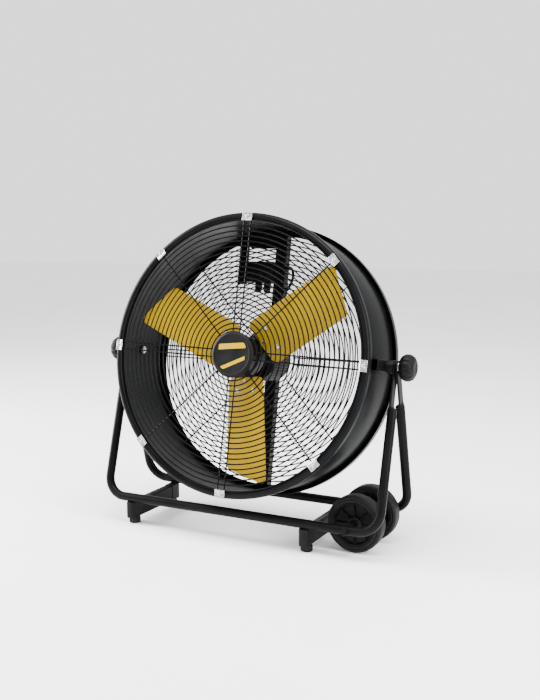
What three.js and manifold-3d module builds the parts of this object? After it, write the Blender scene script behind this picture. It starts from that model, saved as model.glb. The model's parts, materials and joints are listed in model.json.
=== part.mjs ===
// A two-wheeled drum fan: a round steel drum with a three-blade rotor, tilting in a bent-tube stand.
//
// Millimetres, +Z up, +X to the right as seen from the front, and the air leaves towards -Y.
// The stand is built about the point on the floor under its pivots. The drum, with all that it
// carries, is built about its own centre with its axis along Y, and its group then tips it back
// about the pivot.
import * as THREE from 'three';
import { mergeVertices } from 'three/addons/utils/BufferGeometryUtils.js';
import Module from 'manifold-3d';

const wasm = await Module();
wasm.setup();

// ---------------------------------------------------------------- driving dimensions
const GAP = 0.3;                     // clearance between pieces that touch
const SIDES = 6;                     // facets on small round pieces

// drum
const TILT = THREE.MathUtils.degToRad(11);   // the front face leans back by this at rest
const SHELL_RADIUS = 325;            // inside of the rolled sheet
const SHEET = 2;
const RIM_RADIUS = SHELL_RADIUS + 13;           // outside of both rolled rims
const FRONT_OPENING_RADIUS = SHELL_RADIUS - 7;
const REAR_OPENING_RADIUS = SHELL_RADIUS - 12;
const HALF_DEPTH = 100;              // middle of the drum to the crown of the front rim
const REAR_FACE = 99;                // middle of the drum to the rear flange's face
const RIM_RETURN = 20;               // how far a rim folds back along the shell
const DRUM_FACETS = 40;

// guards
const WIRE = 1.75;                   // radius of the guard wires
const FRONT_RINGS = [46, 85.7, 146.7, 207.7, SHELL_RADIUS - 56.3, SHELL_RADIUS - 5];  // first in cap
const REAR_RINGS = [61.3, 122.3, 195.5, SHELL_RADIUS - 68.5, SHELL_RADIUS + 5];  // first round motor
const LARGE_RING = 150;              // rings wider than this have more facets
const SPOKE_COUNT = 8;
const FRONT_TURN = THREE.MathUtils.degToRad(-1);  // the front guard sits a little clockwise
const SPOKE_PAIR_SPACING = 18;       // the upright and level spokes are pairs
const CLIP_WIDTH = 26;
const CLIP_THICKNESS = 2.5;
const CLIP_SCREW_RADIUS = 2.2;
const CLIP_SCREW_CIRCLE = SHELL_RADIUS + 2.5;
const CLIP_REACH = SHELL_RADIUS + 10; // the outer edge of the front clips
const REAR_SCREW_CIRCLE = SHELL_RADIUS - 5;

// centre cap, in two halves that clamp the guard's hub ring
const CAP_RADIUS = 55;
const CAP_DISH_DEPTH = 9;
const CAP_BACK_DEPTH = 18;
const CAP_WALL = 2;
const CAP_BOSS_RADIUS = 8;
const CAP_SCREW_RADIUS = 2;

// motor and its beam
const SHAFT_RADIUS = 9;
const SHAFT_NUT_RADIUS = 15;
const MOTOR_RADIUS = 55;
const MOTOR_FRONT = 8;
const SHIELD_DEPTH = 12;
const STATOR_BORE = 31;
const BEARING_RADIUS = 20;
const BEARING_WIDTH = 10;
const BEAM_WIDTH = 30;
const BEAM_DEPTH = 25;
const BEAM_WALL = 2.5;
const BEAM_HALF_LENGTH = SHELL_RADIUS + 7;
const BEAM_BOLT_RADIUS = 3;
const BEAM_BOLT_CIRCLE = SHELL_RADIUS - 6.5;
const BEAM_BOLT_SPACING = 16;
const MOTOR_BOLT_RADIUS = 3.5;
const MOTOR_BOLT_SPACING = 70;

// control box, hung between the beam and a short strap
const BOX_WIDTH = 82;
const BOX_HEIGHT = 53;
const BOX_DEPTH = 27;
const BOX_WALL = 2.5;
const BOX_BOTTOM = 197;
const LID_THICKNESS = 2.5;
const STRAP_WIDTH = 22;
const STRAP_DEPTH = 14;
const STRAP_BOTTOM = 190;
const STRAP_TOP = SHELL_RADIUS - 17;
const TIE_TOP = SHELL_RADIUS - 3;    // the plate that ties the strap to the beam behind the flange
const TIE_BOTTOM = STRAP_TOP - 25;
const GLAND_RADIUS = 10;
const GLAND_LENGTH = 26;
const GLAND_STUB_RADIUS = 6.5;
const GLAND_BORE = 4.3;
const LEAD_RADIUS = 3.5;
const CAPACITOR_RADIUS = 10;
const CAPACITOR_LENGTH = 38;
const KNOB_SWITCH_RADIUS = 15;
const KNOB_SWITCH_DEPTH = 14;
const SWITCH_STEM_RADIUS = 3;
const SWITCH_BODY = 20;
const SWITCH_INSET = 26;             // the switch's middle from the box's right side

// rotor
const TIP_RADIUS = SHELL_RADIUS - 17;   // out to the trailing corner of a blade
const BLADE_ROOT_RADIUS = 51;
const BLADE_WIDTH = 118;
const BLADE_LENGTH = Math.sqrt(TIP_RADIUS ** 2 - (BLADE_WIDTH / 2) ** 2) - BLADE_ROOT_RADIUS;
const TIP_SLANT = 30;
const BLADE_SHEET = 2;
const BLADE_PLANE = -45;             // the blade's middle line along the axis
const ROOT_PITCH = THREE.MathUtils.degToRad(18.5);
const TIP_PITCH = THREE.MathUtils.degToRad(9);
const BLADE_COUNT = 3;
const FIRST_BLADE_ANGLE = THREE.MathUtils.degToRad(35.7);
const HUB_RADIUS = 48;
const HUB_FRONT = -70;
const HUB_WALL = 3;
const BOSS_RADIUS = 20;
const ARM_WIDTH = 68;
const ARM_TIP_RADIUS = 98;
const RIVET_RADIUS = 2.4;
const RIVET_HEAD_RADIUS = 5;
const RIVET_SPOTS = [[61, 0], [82, 26], [82, -26]];  // radius along the blade, offset across it

// pivot
const PIVOT_BOLT_RADIUS = 6;
const PIVOT_CLEARANCE = 0.35;
const BRACKET_LENGTH = 122;
const BRACKET_HEIGHT = 28;
const BRACKET_DEPTH = 17;
const BRACKET_WALL = 3;
const PIVOT_SPACER_RADIUS = 15;
const WASHER_RADIUS = 14;
const WASHER_THICKNESS = 2.4;
const KNOB_RADIUS = 31.5;
const KNOB_WIDTH = 36;
const KNOB_LOBES = 10;
const KNOB_FLUTE_RADIUS = 6;
const KNOB_FLUTE_DEPTH = 2;

// stand
const TUBE_RADIUS = 11;
const TUBE_WALL = 1.8;
const TUBE_SPREAD = SHELL_RADIUS + 43;          // middle of the stand to the legs' centre line
const TUBE_STANCE = 101;             // half of the way between the front and rear lower runs
const BASE_SHIFT = -6;               // the base's middle lies this far in front of the pivots
const TUBE_HEIGHT = 68.5;            // floor to the lower runs' centre line
const PIVOT_HEIGHT = TUBE_HEIGHT + SHELL_RADIUS + 37;
const TUBE_BEND_RADIUS = 50;
const EYE_THICKNESS = 5;
const EYE_RADIUS = 15;
const EYE_NECK = 105;                // pivot to where the flattened end becomes round

// base
const BAR_WIDTH = 22;
const BAR_WALL = 3;
const LEFT_BAR_X = 73 - TUBE_SPREAD;
const RIGHT_BAR_X = TUBE_SPREAD - 181;
const BLOCK_WIDTH = 24;
const BLOCK_LENGTH = 40;
const FOOT_HEIGHT = 16;
const FOOT_RADIUS = 15;
const FOOT_INSET = 14;               // the feet stand this far inside the lower runs' centre lines
const FOOT_RIBS = 12;
const FOOT_SCREW_RADIUS = 3;

// wheels
const WHEEL_RADIUS = 67;
const WHEEL_WIDTH = 36;
const WHEEL_X = TUBE_SPREAD - 77;
const FRONT_WHEEL_Y = -40;           // from the base's middle
const REAR_WHEEL_Y = 56;
const TYRE_THICKNESS = 15;
const RIM_WEB = 6;
const WHEEL_HUB_RADIUS = 15;
const AXLE_RADIUS = 6;
const AXLE_CLEARANCE = 0.35;
const WHEEL_FACETS = 24;
const SPACER_RADIUS = 10;
const AXLE_NUT_RADIUS = 10;
const AXLE_NUT_HEIGHT = 7;

// ---------------------------------------------------------------- finishes
const FINISHES = {
  blackSteel: { color: 0x1b1c1e, roughness: 0.42, metalness: 0.35 },
  yellowSteel: { color: 0xe0ac10, roughness: 0.35, metalness: 0.2 },
  zincSteel: { color: 0xb9bcc0, roughness: 0.3, metalness: 0.95 },
  blackPlastic: { color: 0x17181a, roughness: 0.55, metalness: 0.0 },
  motorBlack: { color: 0x131417, roughness: 0.5, metalness: 0.4 },
  rubber: { color: 0x121212, roughness: 0.85, metalness: 0.0 },
  bareSteel: { color: 0x8f9296, roughness: 0.35, metalness: 0.9 },
};

function mesh(name, geometry, finish) {
  const made = new THREE.Mesh(geometry, new THREE.MeshStandardMaterial(FINISHES[finish]));
  made.name = name;
  return made;
}

// ---------------------------------------------------------------- geometry helpers

// Merges shared corners, drops triangles with no area and turns the faces outwards.
function closed(geometry) {
  const bare = geometry.clone();
  bare.deleteAttribute('normal');
  bare.deleteAttribute('uv');
  const merged = mergeVertices(bare, 1e-4);
  const corner = merged.attributes.position;
  const index = merged.index.array;
  const kept = [];
  let volume = 0;
  const [a, b, c] = [new THREE.Vector3(), new THREE.Vector3(), new THREE.Vector3()];
  for (let i = 0; i < index.length; i += 3) {
    const [p, q, r] = [index[i], index[i + 1], index[i + 2]];
    if (p === q || q === r || r === p) continue;
    kept.push(p, q, r);
    a.fromBufferAttribute(corner, p);
    b.fromBufferAttribute(corner, q);
    c.fromBufferAttribute(corner, r);
    volume += a.dot(b.cross(c));
  }
  if (volume < 0) kept.reverse();
  merged.setIndex(kept);
  merged.computeVertexNormals();
  return merged;
}

function toSolid(geometry) {
  const clean = closed(geometry);
  const vertProperties = new Float32Array(clean.attributes.position.array);
  const triVerts = new Uint32Array(clean.index.array);
  return new wasm.Manifold(new wasm.Mesh({ numProp: 3, vertProperties, triVerts }));
}

function toGeometry(solid) {
  const result = solid.getMesh();
  const geometry = new THREE.BufferGeometry();
  geometry.setAttribute('position', new THREE.BufferAttribute(result.vertProperties, 3));
  geometry.setIndex(new THREE.BufferAttribute(result.triVerts, 1));
  geometry.computeVertexNormals();
  return geometry;
}

function join(...geometries) {
  return toGeometry(geometries.map(toSolid).reduce((all, next) => all.add(next)));
}

function cut(geometry, ...tools) {
  const removed = tools.map(toSolid).reduce((all, next) => all.add(next));
  return toGeometry(toSolid(geometry).subtract(removed));
}

// A ring or a turned piece about the Y axis, from [radius, y] points. The outline closes on itself.
function turned(outline, facets = SIDES) {
  const points = outline.map(([radius, y]) => new THREE.Vector2(radius, y));
  return new THREE.LatheGeometry([...points, points[0]], facets);
}

function ring(inner, outer, from, to, facets = SIDES) {
  return turned([[inner, from], [outer, from], [outer, to], [inner, to]], facets);
}

// A round bar along Y between two stations.
function rod(radius, from, to, facets = SIDES) {
  const bar = new THREE.CylinderGeometry(radius, radius, to - from, facets);
  return bar.translate(0, (from + to) / 2, 0);
}

// A six-sided nut with a round bore.
function hexNut(bore, radius, from, to, facets) {
  return cut(rod(radius, from, to, 6), rod(bore, from - 1, to + 1, facets));
}

function box(sizeX, sizeY, sizeZ, x = 0, y = 0, z = 0) {
  return new THREE.BoxGeometry(sizeX, sizeY, sizeZ).translate(x, y, z);
}

// Turns a piece made along Y so that it runs along X or Z.
const alongX = (geometry) => geometry.rotateZ(-Math.PI / 2);
const alongZ = (geometry) => geometry.rotateX(Math.PI / 2);

// Carries a piece made at the top of the drum round the drum's axis. Angle 0 is at the right.
function atAngle(geometry, angle) {
  return geometry.clone().rotateY(Math.PI / 2 - angle);
}

function polygon(points) {
  return new THREE.Shape(points.map(([x, y]) => new THREE.Vector2(x, y)));
}

function prism(points, depth) {
  return new THREE.ExtrudeGeometry(polygon(points), { depth, bevelEnabled: false });
}

function circlePoints(radius, facets) {
  return Array.from({ length: facets }, (_, i) => {
    const angle = (2 * Math.PI * i) / facets;
    return [radius * Math.cos(angle), radius * Math.sin(angle)];
  });
}

// A path that is followed from station to station, so straight runs cost one step.
class StationPath extends THREE.Curve {
  constructor(points, tangents) {
    super();
    this.points = points;
    this.tangents = tangents;
  }

  station(t) {
    return Math.round(t * (this.points.length - 1));
  }

  getPointAt(t, target = new THREE.Vector3()) {
    return target.copy(this.points[this.station(t)]);
  }

  getTangentAt(t, target = new THREE.Vector3()) {
    return target.copy(this.tangents[this.station(t)]);
  }
}

function sweep(path, radius, facets) {
  const section = polygon(circlePoints(radius, facets));
  return new THREE.ExtrudeGeometry(section, { steps: path.points.length - 1, extrudePath: path });
}

// ---------------------------------------------------------------- stand

// The U of one stand tube, drawn flat: X across, Y up the leg.
function stationsOfU(legTop) {
  const points = [];
  const tangents = [];
  const add = (x, y, tx, ty) => {
    points.push(new THREE.Vector3(x, y, 0));
    tangents.push(new THREE.Vector3(tx, ty, 0));
  };
  const bendX = TUBE_SPREAD - TUBE_BEND_RADIUS;
  const bendSteps = 4;
  add(-TUBE_SPREAD, legTop, 0, -1);
  for (let i = 0; i <= bendSteps; i++) {
    const angle = (Math.PI / 2) * (i / bendSteps);
    const [c, s] = [Math.cos(angle), Math.sin(angle)];
    add(-bendX - TUBE_BEND_RADIUS * c, TUBE_BEND_RADIUS * (1 - s), s, -c);
  }
  for (let i = 0; i <= bendSteps; i++) {
    const angle = (Math.PI / 2) * (i / bendSteps);
    const [c, s] = [Math.cos(angle), Math.sin(angle)];
    add(bendX + TUBE_BEND_RADIUS * s, TUBE_BEND_RADIUS * (1 - c), c, s);
  }
  add(TUBE_SPREAD, legTop, 0, 1);
  return new StationPath(points, tangents);
}

// The flattened end of a leg, with its round eye at the pivot.
function legEye(side, faceOffset, legLength) {
  const outline = [];
  const eyeSteps = 8;
  for (let i = 0; i <= eyeSteps; i++) {
    const angle = (Math.PI * i) / eyeSteps;
    outline.push([EYE_RADIUS * Math.cos(angle), legLength + EYE_RADIUS * Math.sin(angle)]);
  }
  const neck = legLength - EYE_NECK - TUBE_RADIUS;
  outline.push([-TUBE_RADIUS + TUBE_WALL, neck]);
  outline.push([TUBE_RADIUS - TUBE_WALL, neck]);
  const plate = prism(outline, EYE_THICKNESS).rotateY(Math.PI / 2);
  const middle = side * (TUBE_SPREAD + faceOffset);
  return plate.translate(middle - EYE_THICKNESS / 2, 0, 0);
}

// One U of the stand. stance is where its lower run lies; eyeOffset shifts its eyes along the
// pivot, so that the front and rear legs lie face to face there.
function frameTube(name, stance, eyeOffset) {
  const legLength = Math.hypot(PIVOT_HEIGHT - TUBE_HEIGHT, stance);
  const path = stationsOfU(legLength - EYE_NECK);
  const outside = sweep(path, TUBE_RADIUS, 10);
  const bore = sweep(stationsOfU(legLength - EYE_NECK - TUBE_RADIUS), TUBE_RADIUS - TUBE_WALL, 10);
  const eyes = [-1, 1].map((side) => legEye(side, eyeOffset, legLength));
  const hole = PIVOT_BOLT_RADIUS + PIVOT_CLEARANCE;
  const pivotHoles = alongX(rod(hole, -2 * TUBE_SPREAD, 2 * TUBE_SPREAD, 12)).translate(0, legLength, 0);

  // The lower run is drilled along the floor for the axle, and from below for the foot screws.
  const lean = Math.atan2(PIVOT_HEIGHT - TUBE_HEIGHT, -stance);
  const level = (geometry, x) => geometry.rotateX(-lean).translate(x, 0, 0);
  const axleHole = level(rod(AXLE_RADIUS + GAP, -2 * TUBE_RADIUS, 2 * TUBE_RADIUS, 12), WHEEL_X);
  const screwHoles = [LEFT_BAR_X, RIGHT_BAR_X].map((x) =>
    level(alongZ(rod(FOOT_SCREW_RADIUS + GAP, -2 * TUBE_RADIUS, 0)), x));

  const body = join(cut(outside, bore), ...eyes);
  const tube = mesh(name, cut(body, pivotHoles, axleHole, ...screwHoles), 'blackSteel');
  tube.position.set(0, stance, TUBE_HEIGHT);
  tube.rotation.x = lean;
  return tube;
}

const barTop = TUBE_HEIGHT - TUBE_RADIUS - GAP;
const blockOuter = TUBE_STANCE + TUBE_RADIUS;
const blockInner = blockOuter - BLOCK_LENGTH;

// A front-to-back channel under the two tubes, open towards the floor, with eased top edges.
function baseBar(name, x) {
  const ease = 4;
  const half = BAR_WIDTH / 2;
  const [inside, ceiling] = [half - BAR_WALL, barTop - BAR_WALL];
  const section = [
    [-half, FOOT_HEIGHT], [-inside, FOOT_HEIGHT], [-inside, ceiling], [inside, ceiling],
    [inside, FOOT_HEIGHT], [half, FOOT_HEIGHT], [half, barTop - ease], [half - ease, barTop],
    [-half + ease, barTop], [-half, barTop - ease],
  ];
  const length = 2 * (blockInner - GAP);
  const bar = prism(section, length).rotateX(Math.PI / 2).translate(x, length / 2, 0);
  return mesh(name, closed(bar), 'blackSteel');
}

// A moulded block that closes the end of a bar, with the screw that holds the tube down on it.
// The screw comes up through the tube's lower wall and ends inside the tube.
function footBlock(name, x, side) {
  const chamfer = 6;
  const half = BLOCK_WIDTH / 2;
  const outline = [
    [-half, blockInner], [half, blockInner], [half, blockOuter - chamfer], [half - chamfer, blockOuter],
    [-half + chamfer, blockOuter], [-half, blockOuter - chamfer],
  ];
  const block = prism(outline, barTop - FOOT_HEIGHT).translate(0, 0, FOOT_HEIGHT);
  const screw = alongZ(rod(FOOT_SCREW_RADIUS, barTop - 2, TUBE_HEIGHT - 2)).translate(0, TUBE_STANCE, 0);
  const made = join(block, screw).rotateZ(side > 0 ? 0 : Math.PI).translate(x, 0, 0);
  return mesh(name, made, 'blackPlastic');
}

// A ribbed rubber foot that stands on the floor under its block.
function rubberFoot(name, x, side) {
  const outline = [];
  for (let i = 0; i < 2 * FOOT_RIBS; i++) {
    const angle = (Math.PI * i) / FOOT_RIBS;
    const radius = i % 2 ? FOOT_RADIUS : FOOT_RADIUS - 1.5;
    outline.push([radius * Math.cos(angle), radius * Math.sin(angle)]);
  }
  const foot = prism(outline, FOOT_HEIGHT - GAP).translate(x, side * (TUBE_STANCE - FOOT_INSET), 0);
  return mesh(name, closed(foot), 'rubber');
}

// ---------------------------------------------------------------- wheels

function wheel(prefix, y) {
  const half = WHEEL_WIDTH / 2;
  const rimRadius = WHEEL_RADIUS - TYRE_THICKNESS;
  const shoulder = 5;
  const tyre = turned([
    [rimRadius, -half], [WHEEL_RADIUS - shoulder, -half], [WHEEL_RADIUS, -half + shoulder],
    [WHEEL_RADIUS, half - shoulder], [WHEEL_RADIUS - shoulder, half], [rimRadius, half],
  ], WHEEL_FACETS);
  const seat = rimRadius - GAP;
  const bead = 4;
  const bore = AXLE_RADIUS + AXLE_CLEARANCE;
  const disc = turned([
    [bore, -half], [WHEEL_HUB_RADIUS, -half], [WHEEL_HUB_RADIUS, -RIM_WEB], [seat - bead, -RIM_WEB],
    [seat - bead, -half], [seat, -half], [seat, half], [seat - bead, half],
    [seat - bead, RIM_WEB], [WHEEL_HUB_RADIUS, RIM_WEB], [WHEEL_HUB_RADIUS, half], [bore, half],
  ], WHEEL_FACETS);
  const parts = [
    mesh(`${prefix}_tyre`, closed(tyre), 'rubber'),
    mesh(`${prefix}_rim`, closed(disc), 'blackPlastic'),
  ];
  parts.forEach((part) => part.position.set(WHEEL_X, y, TUBE_HEIGHT));
  return parts;
}

// The axle runs through both lower tubes. Spacers on it keep the wheels in their places.
function axleParts() {
  const outside = TUBE_STANCE + TUBE_RADIUS + GAP;
  const axleEnd = outside + AXLE_NUT_HEIGHT + 2;
  const bore = AXLE_RADIUS + GAP;
  const halfWheel = WHEEL_WIDTH / 2 + GAP;
  const tubeInside = TUBE_STANCE - TUBE_RADIUS - GAP;
  const spacer = (from, to) => ring(bore, SPACER_RADIUS, from, to, 12);
  const middleSpacer = spacer(FRONT_WHEEL_Y + halfWheel, REAR_WHEEL_Y - halfWheel);
  const nut = (from, to) => hexNut(bore, AXLE_NUT_RADIUS, from, to, 12);
  const parts = [
    mesh('wheel_axle', closed(rod(AXLE_RADIUS, -axleEnd, axleEnd, 12)), 'blackSteel'),
    mesh('middle_wheel_spacer', closed(middleSpacer), 'blackPlastic'),
    mesh('front_wheel_spacer', closed(spacer(-tubeInside, FRONT_WHEEL_Y - halfWheel)), 'blackPlastic'),
    mesh('rear_wheel_spacer', closed(spacer(REAR_WHEEL_Y + halfWheel, tubeInside)), 'blackPlastic'),
    mesh('front_axle_nut', nut(-outside - AXLE_NUT_HEIGHT, -outside), 'blackSteel'),
    mesh('rear_axle_nut', nut(outside, outside + AXLE_NUT_HEIGHT), 'blackSteel'),
  ];
  parts.forEach((part) => part.position.set(WHEEL_X, 0, TUBE_HEIGHT));
  return parts;
}

// ---------------------------------------------------------------- drum

// Half circle of a rolled rim in the [radius, y] plane, bulging forwards.
function rollPoints(radius, steps = 4) {
  const middle = (RIM_RADIUS + FRONT_OPENING_RADIUS) / 2;
  const crown = (RIM_RADIUS - FRONT_OPENING_RADIUS) / 2;
  return Array.from({ length: steps + 1 }, (_, i) => {
    const angle = (Math.PI * i) / steps;
    return [middle + radius * Math.cos(angle), -HALF_DEPTH + crown - radius * Math.sin(angle)];
  });
}

const rollRadius = (RIM_RADIUS - FRONT_OPENING_RADIUS) / 2;
const rollBack = -HALF_DEPTH + 2 * rollRadius;
const rearInside = REAR_FACE - SHEET;
const shellOuter = SHELL_RADIUS + SHEET;

function drumShell() {
  const corner = 5;
  const outline = [
    [RIM_RADIUS, rollBack], ...rollPoints(rollRadius),
    [SHELL_RADIUS, rollBack], [SHELL_RADIUS, rearInside], [REAR_OPENING_RADIUS, rearInside],
    [REAR_OPENING_RADIUS, REAR_FACE], [RIM_RADIUS - corner, REAR_FACE], [RIM_RADIUS, REAR_FACE - corner],
    [RIM_RADIUS, REAR_FACE - RIM_RETURN], [RIM_RADIUS - SHEET, REAR_FACE - RIM_RETURN],
    [RIM_RADIUS - SHEET, rearInside - corner + 1], [RIM_RADIUS - SHEET - corner + 1, rearInside],
    [shellOuter, rearInside], [shellOuter, rollBack + 1], ...rollPoints(rollRadius - SHEET).reverse(),
    [RIM_RADIUS - SHEET, rollBack],
  ];
  const shell = turned(outline, DRUM_FACETS);
  const screwHole = (from, to, circle) => rod(CLIP_SCREW_RADIUS + GAP, from, to, 6).translate(0, 0, circle);
  const frontHole = screwHole(-HALF_DEPTH - 5, rollBack, CLIP_SCREW_CIRCLE);
  const rearHole = screwHole(rearInside - 2, REAR_FACE + 2, REAR_SCREW_CIRCLE);
  const frontHoles = clipAngles('front').map((angle) => atAngle(frontHole, angle));
  const rearHoles = clipAngles('rear').map((angle) => atAngle(rearHole, angle));
  const boltHoles = beamBoltSpots().map(([x, z]) =>
    rod(BEAM_BOLT_RADIUS + GAP, rearInside - 2, REAR_FACE + 2, 6).translate(x, 0, z));
  const pivotHole = alongX(rod(PIVOT_BOLT_RADIUS + GAP, -RIM_RADIUS, RIM_RADIUS, 12));
  return mesh('drum_shell', cut(shell, ...frontHoles, ...rearHoles, ...boltHoles, pivotHole), 'blackSteel');
}

// The rear guard has no clips where the beam is bolted to the flange.
function clipAngles(face) {
  const angles = Array.from({ length: SPOKE_COUNT }, (_, i) => (2 * Math.PI * i) / SPOKE_COUNT);
  if (face === 'front') return angles.map((angle) => angle + FRONT_TURN);
  return angles.filter((angle) => Math.abs(Math.cos(angle)) > 0.1);
}

// ---------------------------------------------------------------- guards

const clipBack = -HALF_DEPTH - GAP;              // where the front clips lie on the rim
const frontGuardPlane = -HALF_DEPTH;
const rearGuardPlane = REAR_FACE + GAP + WIRE;

function ringFacets(radius) {
  return radius < LARGE_RING ? 16 : 24;
}

// Points round a ring between two angles, with a corner at each of its facets.
function arcPoints(radius, from, to) {
  const facet = (2 * Math.PI) / ringFacets(radius);
  const least = 0.05 * facet;
  const angles = [from];
  for (let i = Math.ceil((from + least) / facet); i * facet < to - least; i++) angles.push(i * facet);
  angles.push(to);
  return angles.map((angle) => [radius * Math.cos(angle), radius * Math.sin(angle)]);
}

// The spokes in order round a guard. Every second one is a pair in front, every fourth behind.
function spokeLines(pairEvery) {
  return Array.from({ length: SPOKE_COUNT }, (_, i) => {
    const angle = (2 * Math.PI * i) / SPOKE_COUNT;
    const offsets = i % pairEvery ? [0] : [-SPOKE_PAIR_SPACING / 2, SPOKE_PAIR_SPACING / 2];
    return offsets.map((offset) => ({ angle, offset }));
  }).flat();
}

// A flat grille of rings on spokes: a disc with one opening for each field between them.
function guardGrille(rings, plane, pairEvery) {
  const spokes = spokeLines(pairEvery);
  const edgeAngle = (spoke, side, radius) => spoke.angle + Math.asin((spoke.offset + side * WIRE) / radius);
  const fields = [];
  spokes.forEach((spoke, i) => {
    const wraps = i === spokes.length - 1;
    const next = spokes[(i + 1) % spokes.length];
    const beyond = { offset: next.offset, angle: next.angle + (wraps ? 2 * Math.PI : 0) };
    for (let k = 0; k < rings.length - 1; k++) {
      const [near, far] = [rings[k] + WIRE, rings[k + 1] - WIRE];
      fields.push([
        ...arcPoints(far, edgeAngle(spoke, 1, far), edgeAngle(beyond, -1, far)),
        ...arcPoints(near, edgeAngle(spoke, 1, near), edgeAngle(beyond, -1, near)).reverse(),
      ]);
    }
  });
  const [bore, rim] = [rings[0] - WIRE, rings[rings.length - 1] + WIRE];
  const disc = prism(circlePoints(rim, ringFacets(rim)), 2 * WIRE);
  const openings = [circlePoints(bore, ringFacets(bore)), ...fields].map((outline) =>
    prism(outline, 4 * WIRE).translate(0, 0, -WIRE));
  return cut(disc, ...openings).rotateX(Math.PI / 2).translate(0, plane + WIRE, 0);
}

// A pan-head screw along Y. The head rests at seat and the shank runs from it towards tip.
function panScrew(radius, seat, tip, headHeight = radius) {
  const out = Math.sign(seat - tip);
  const head = seat + out * headHeight;
  return turned([
    [0, tip], [radius, tip], [radius, seat], [2 * radius, seat], [2 * radius, head], [0, head],
  ], 6);
}

// The front guard is gripped by flat plates screwed to the rim.
function frontGuard() {
  const inner = FRONT_RINGS[FRONT_RINGS.length - 1] - WIRE - 1;
  const length = CLIP_REACH - inner;
  const plate = box(CLIP_WIDTH, CLIP_THICKNESS, length, 0, clipBack - CLIP_THICKNESS / 2, inner + length / 2);
  const screw = panScrew(CLIP_SCREW_RADIUS, clipBack - CLIP_THICKNESS, -HALF_DEPTH + 6);
  const clip = join(plate, screw.translate(0, 0, CLIP_SCREW_CIRCLE));
  const clips = clipAngles('front').map((angle) => atAngle(clip, angle));
  const grille = guardGrille(FRONT_RINGS, frontGuardPlane, 2).rotateY(-FRONT_TURN);
  return mesh('front_guard', join(grille, ...clips), 'blackSteel');
}

// The rear guard is gripped by stepped plates that reach over its last ring from the rear flange.
function rearGuard() {
  const low = REAR_FACE + GAP;
  const high = rearGuardPlane + 0.5 * WIRE;
  const step = REAR_RINGS[REAR_RINGS.length - 1] - WIRE - GAP;
  const foot = REAR_OPENING_RADIUS + 2;
  const tip = RIM_RADIUS - 2;
  const back = CLIP_THICKNESS;
  const profile = [
    [low, foot], [low, step], [high, step], [high, tip], [high + back, tip],
    [high + back, step - back], [low + back, step - back], [low + back, foot],
  ];
  // The outline is drawn as [y, z] and pushed along X.
  const plate = prism(profile, CLIP_WIDTH).applyMatrix4(new THREE.Matrix4().set(
    0, 0, 1, -CLIP_WIDTH / 2,
    1, 0, 0, 0,
    0, 1, 0, 0,
    0, 0, 0, 1,
  ));
  const screw = panScrew(CLIP_SCREW_RADIUS, low + back, rearInside - 4).translate(0, 0, REAR_SCREW_CIRCLE);
  const clip = join(plate, screw);
  const clips = clipAngles('rear').map((angle) => atAngle(clip, angle));
  return mesh('rear_guard', join(guardGrille(REAR_RINGS, rearGuardPlane, 4), ...clips), 'blackSteel');
}

// The cap in the middle of the front guard: a dish in front, a cup behind, one screw through both.
function centreCap() {
  const seat = frontGuardPlane - WIRE - GAP;
  const front = seat - CAP_DISH_DEPTH;
  const bore = CAP_SCREW_RADIUS + GAP;
  const dish = turned([
    [0, front], [CAP_RADIUS - 8, front + 0.6], [CAP_RADIUS, front + 4], [CAP_RADIUS, seat],
    [CAP_RADIUS - CAP_WALL, seat], [CAP_RADIUS - CAP_WALL, front + 5], [CAP_BOSS_RADIUS, front + 3],
    [CAP_BOSS_RADIUS, seat], [bore, seat], [bore, seat - 4], [0, seat - 4],
  ], 24);
  const back = frontGuardPlane + WIRE + GAP;
  const cup = turned([
    [bore, back], [CAP_RADIUS - 3, back], [CAP_RADIUS - 3, back + CAP_BACK_DEPTH],
    [CAP_RADIUS - 3 - CAP_WALL, back + CAP_BACK_DEPTH], [CAP_RADIUS - 3 - CAP_WALL, back + CAP_WALL],
    [bore, back + CAP_WALL],
  ], 24);
  const screw = panScrew(CAP_SCREW_RADIUS, back + CAP_WALL + GAP, seat - 3.5);
  return [
    mesh('cap_front', closed(dish), 'blackPlastic'),
    mesh('cap_back', closed(cup), 'blackPlastic'),
    mesh('cap_screw', closed(screw), 'zincSteel'),
  ];
}

// ---------------------------------------------------------------- motor

const beamFront = rearGuardPlane + WIRE + GAP;
const motorRear = beamFront - GAP;
const statorFront = MOTOR_FRONT + SHIELD_DEPTH;
const statorRear = motorRear - SHIELD_DEPTH - GAP;
const MOTOR_FACETS = 24;
const motorBoltZ = [-MOTOR_BOLT_SPACING / 2, MOTOR_BOLT_SPACING / 2];

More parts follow.
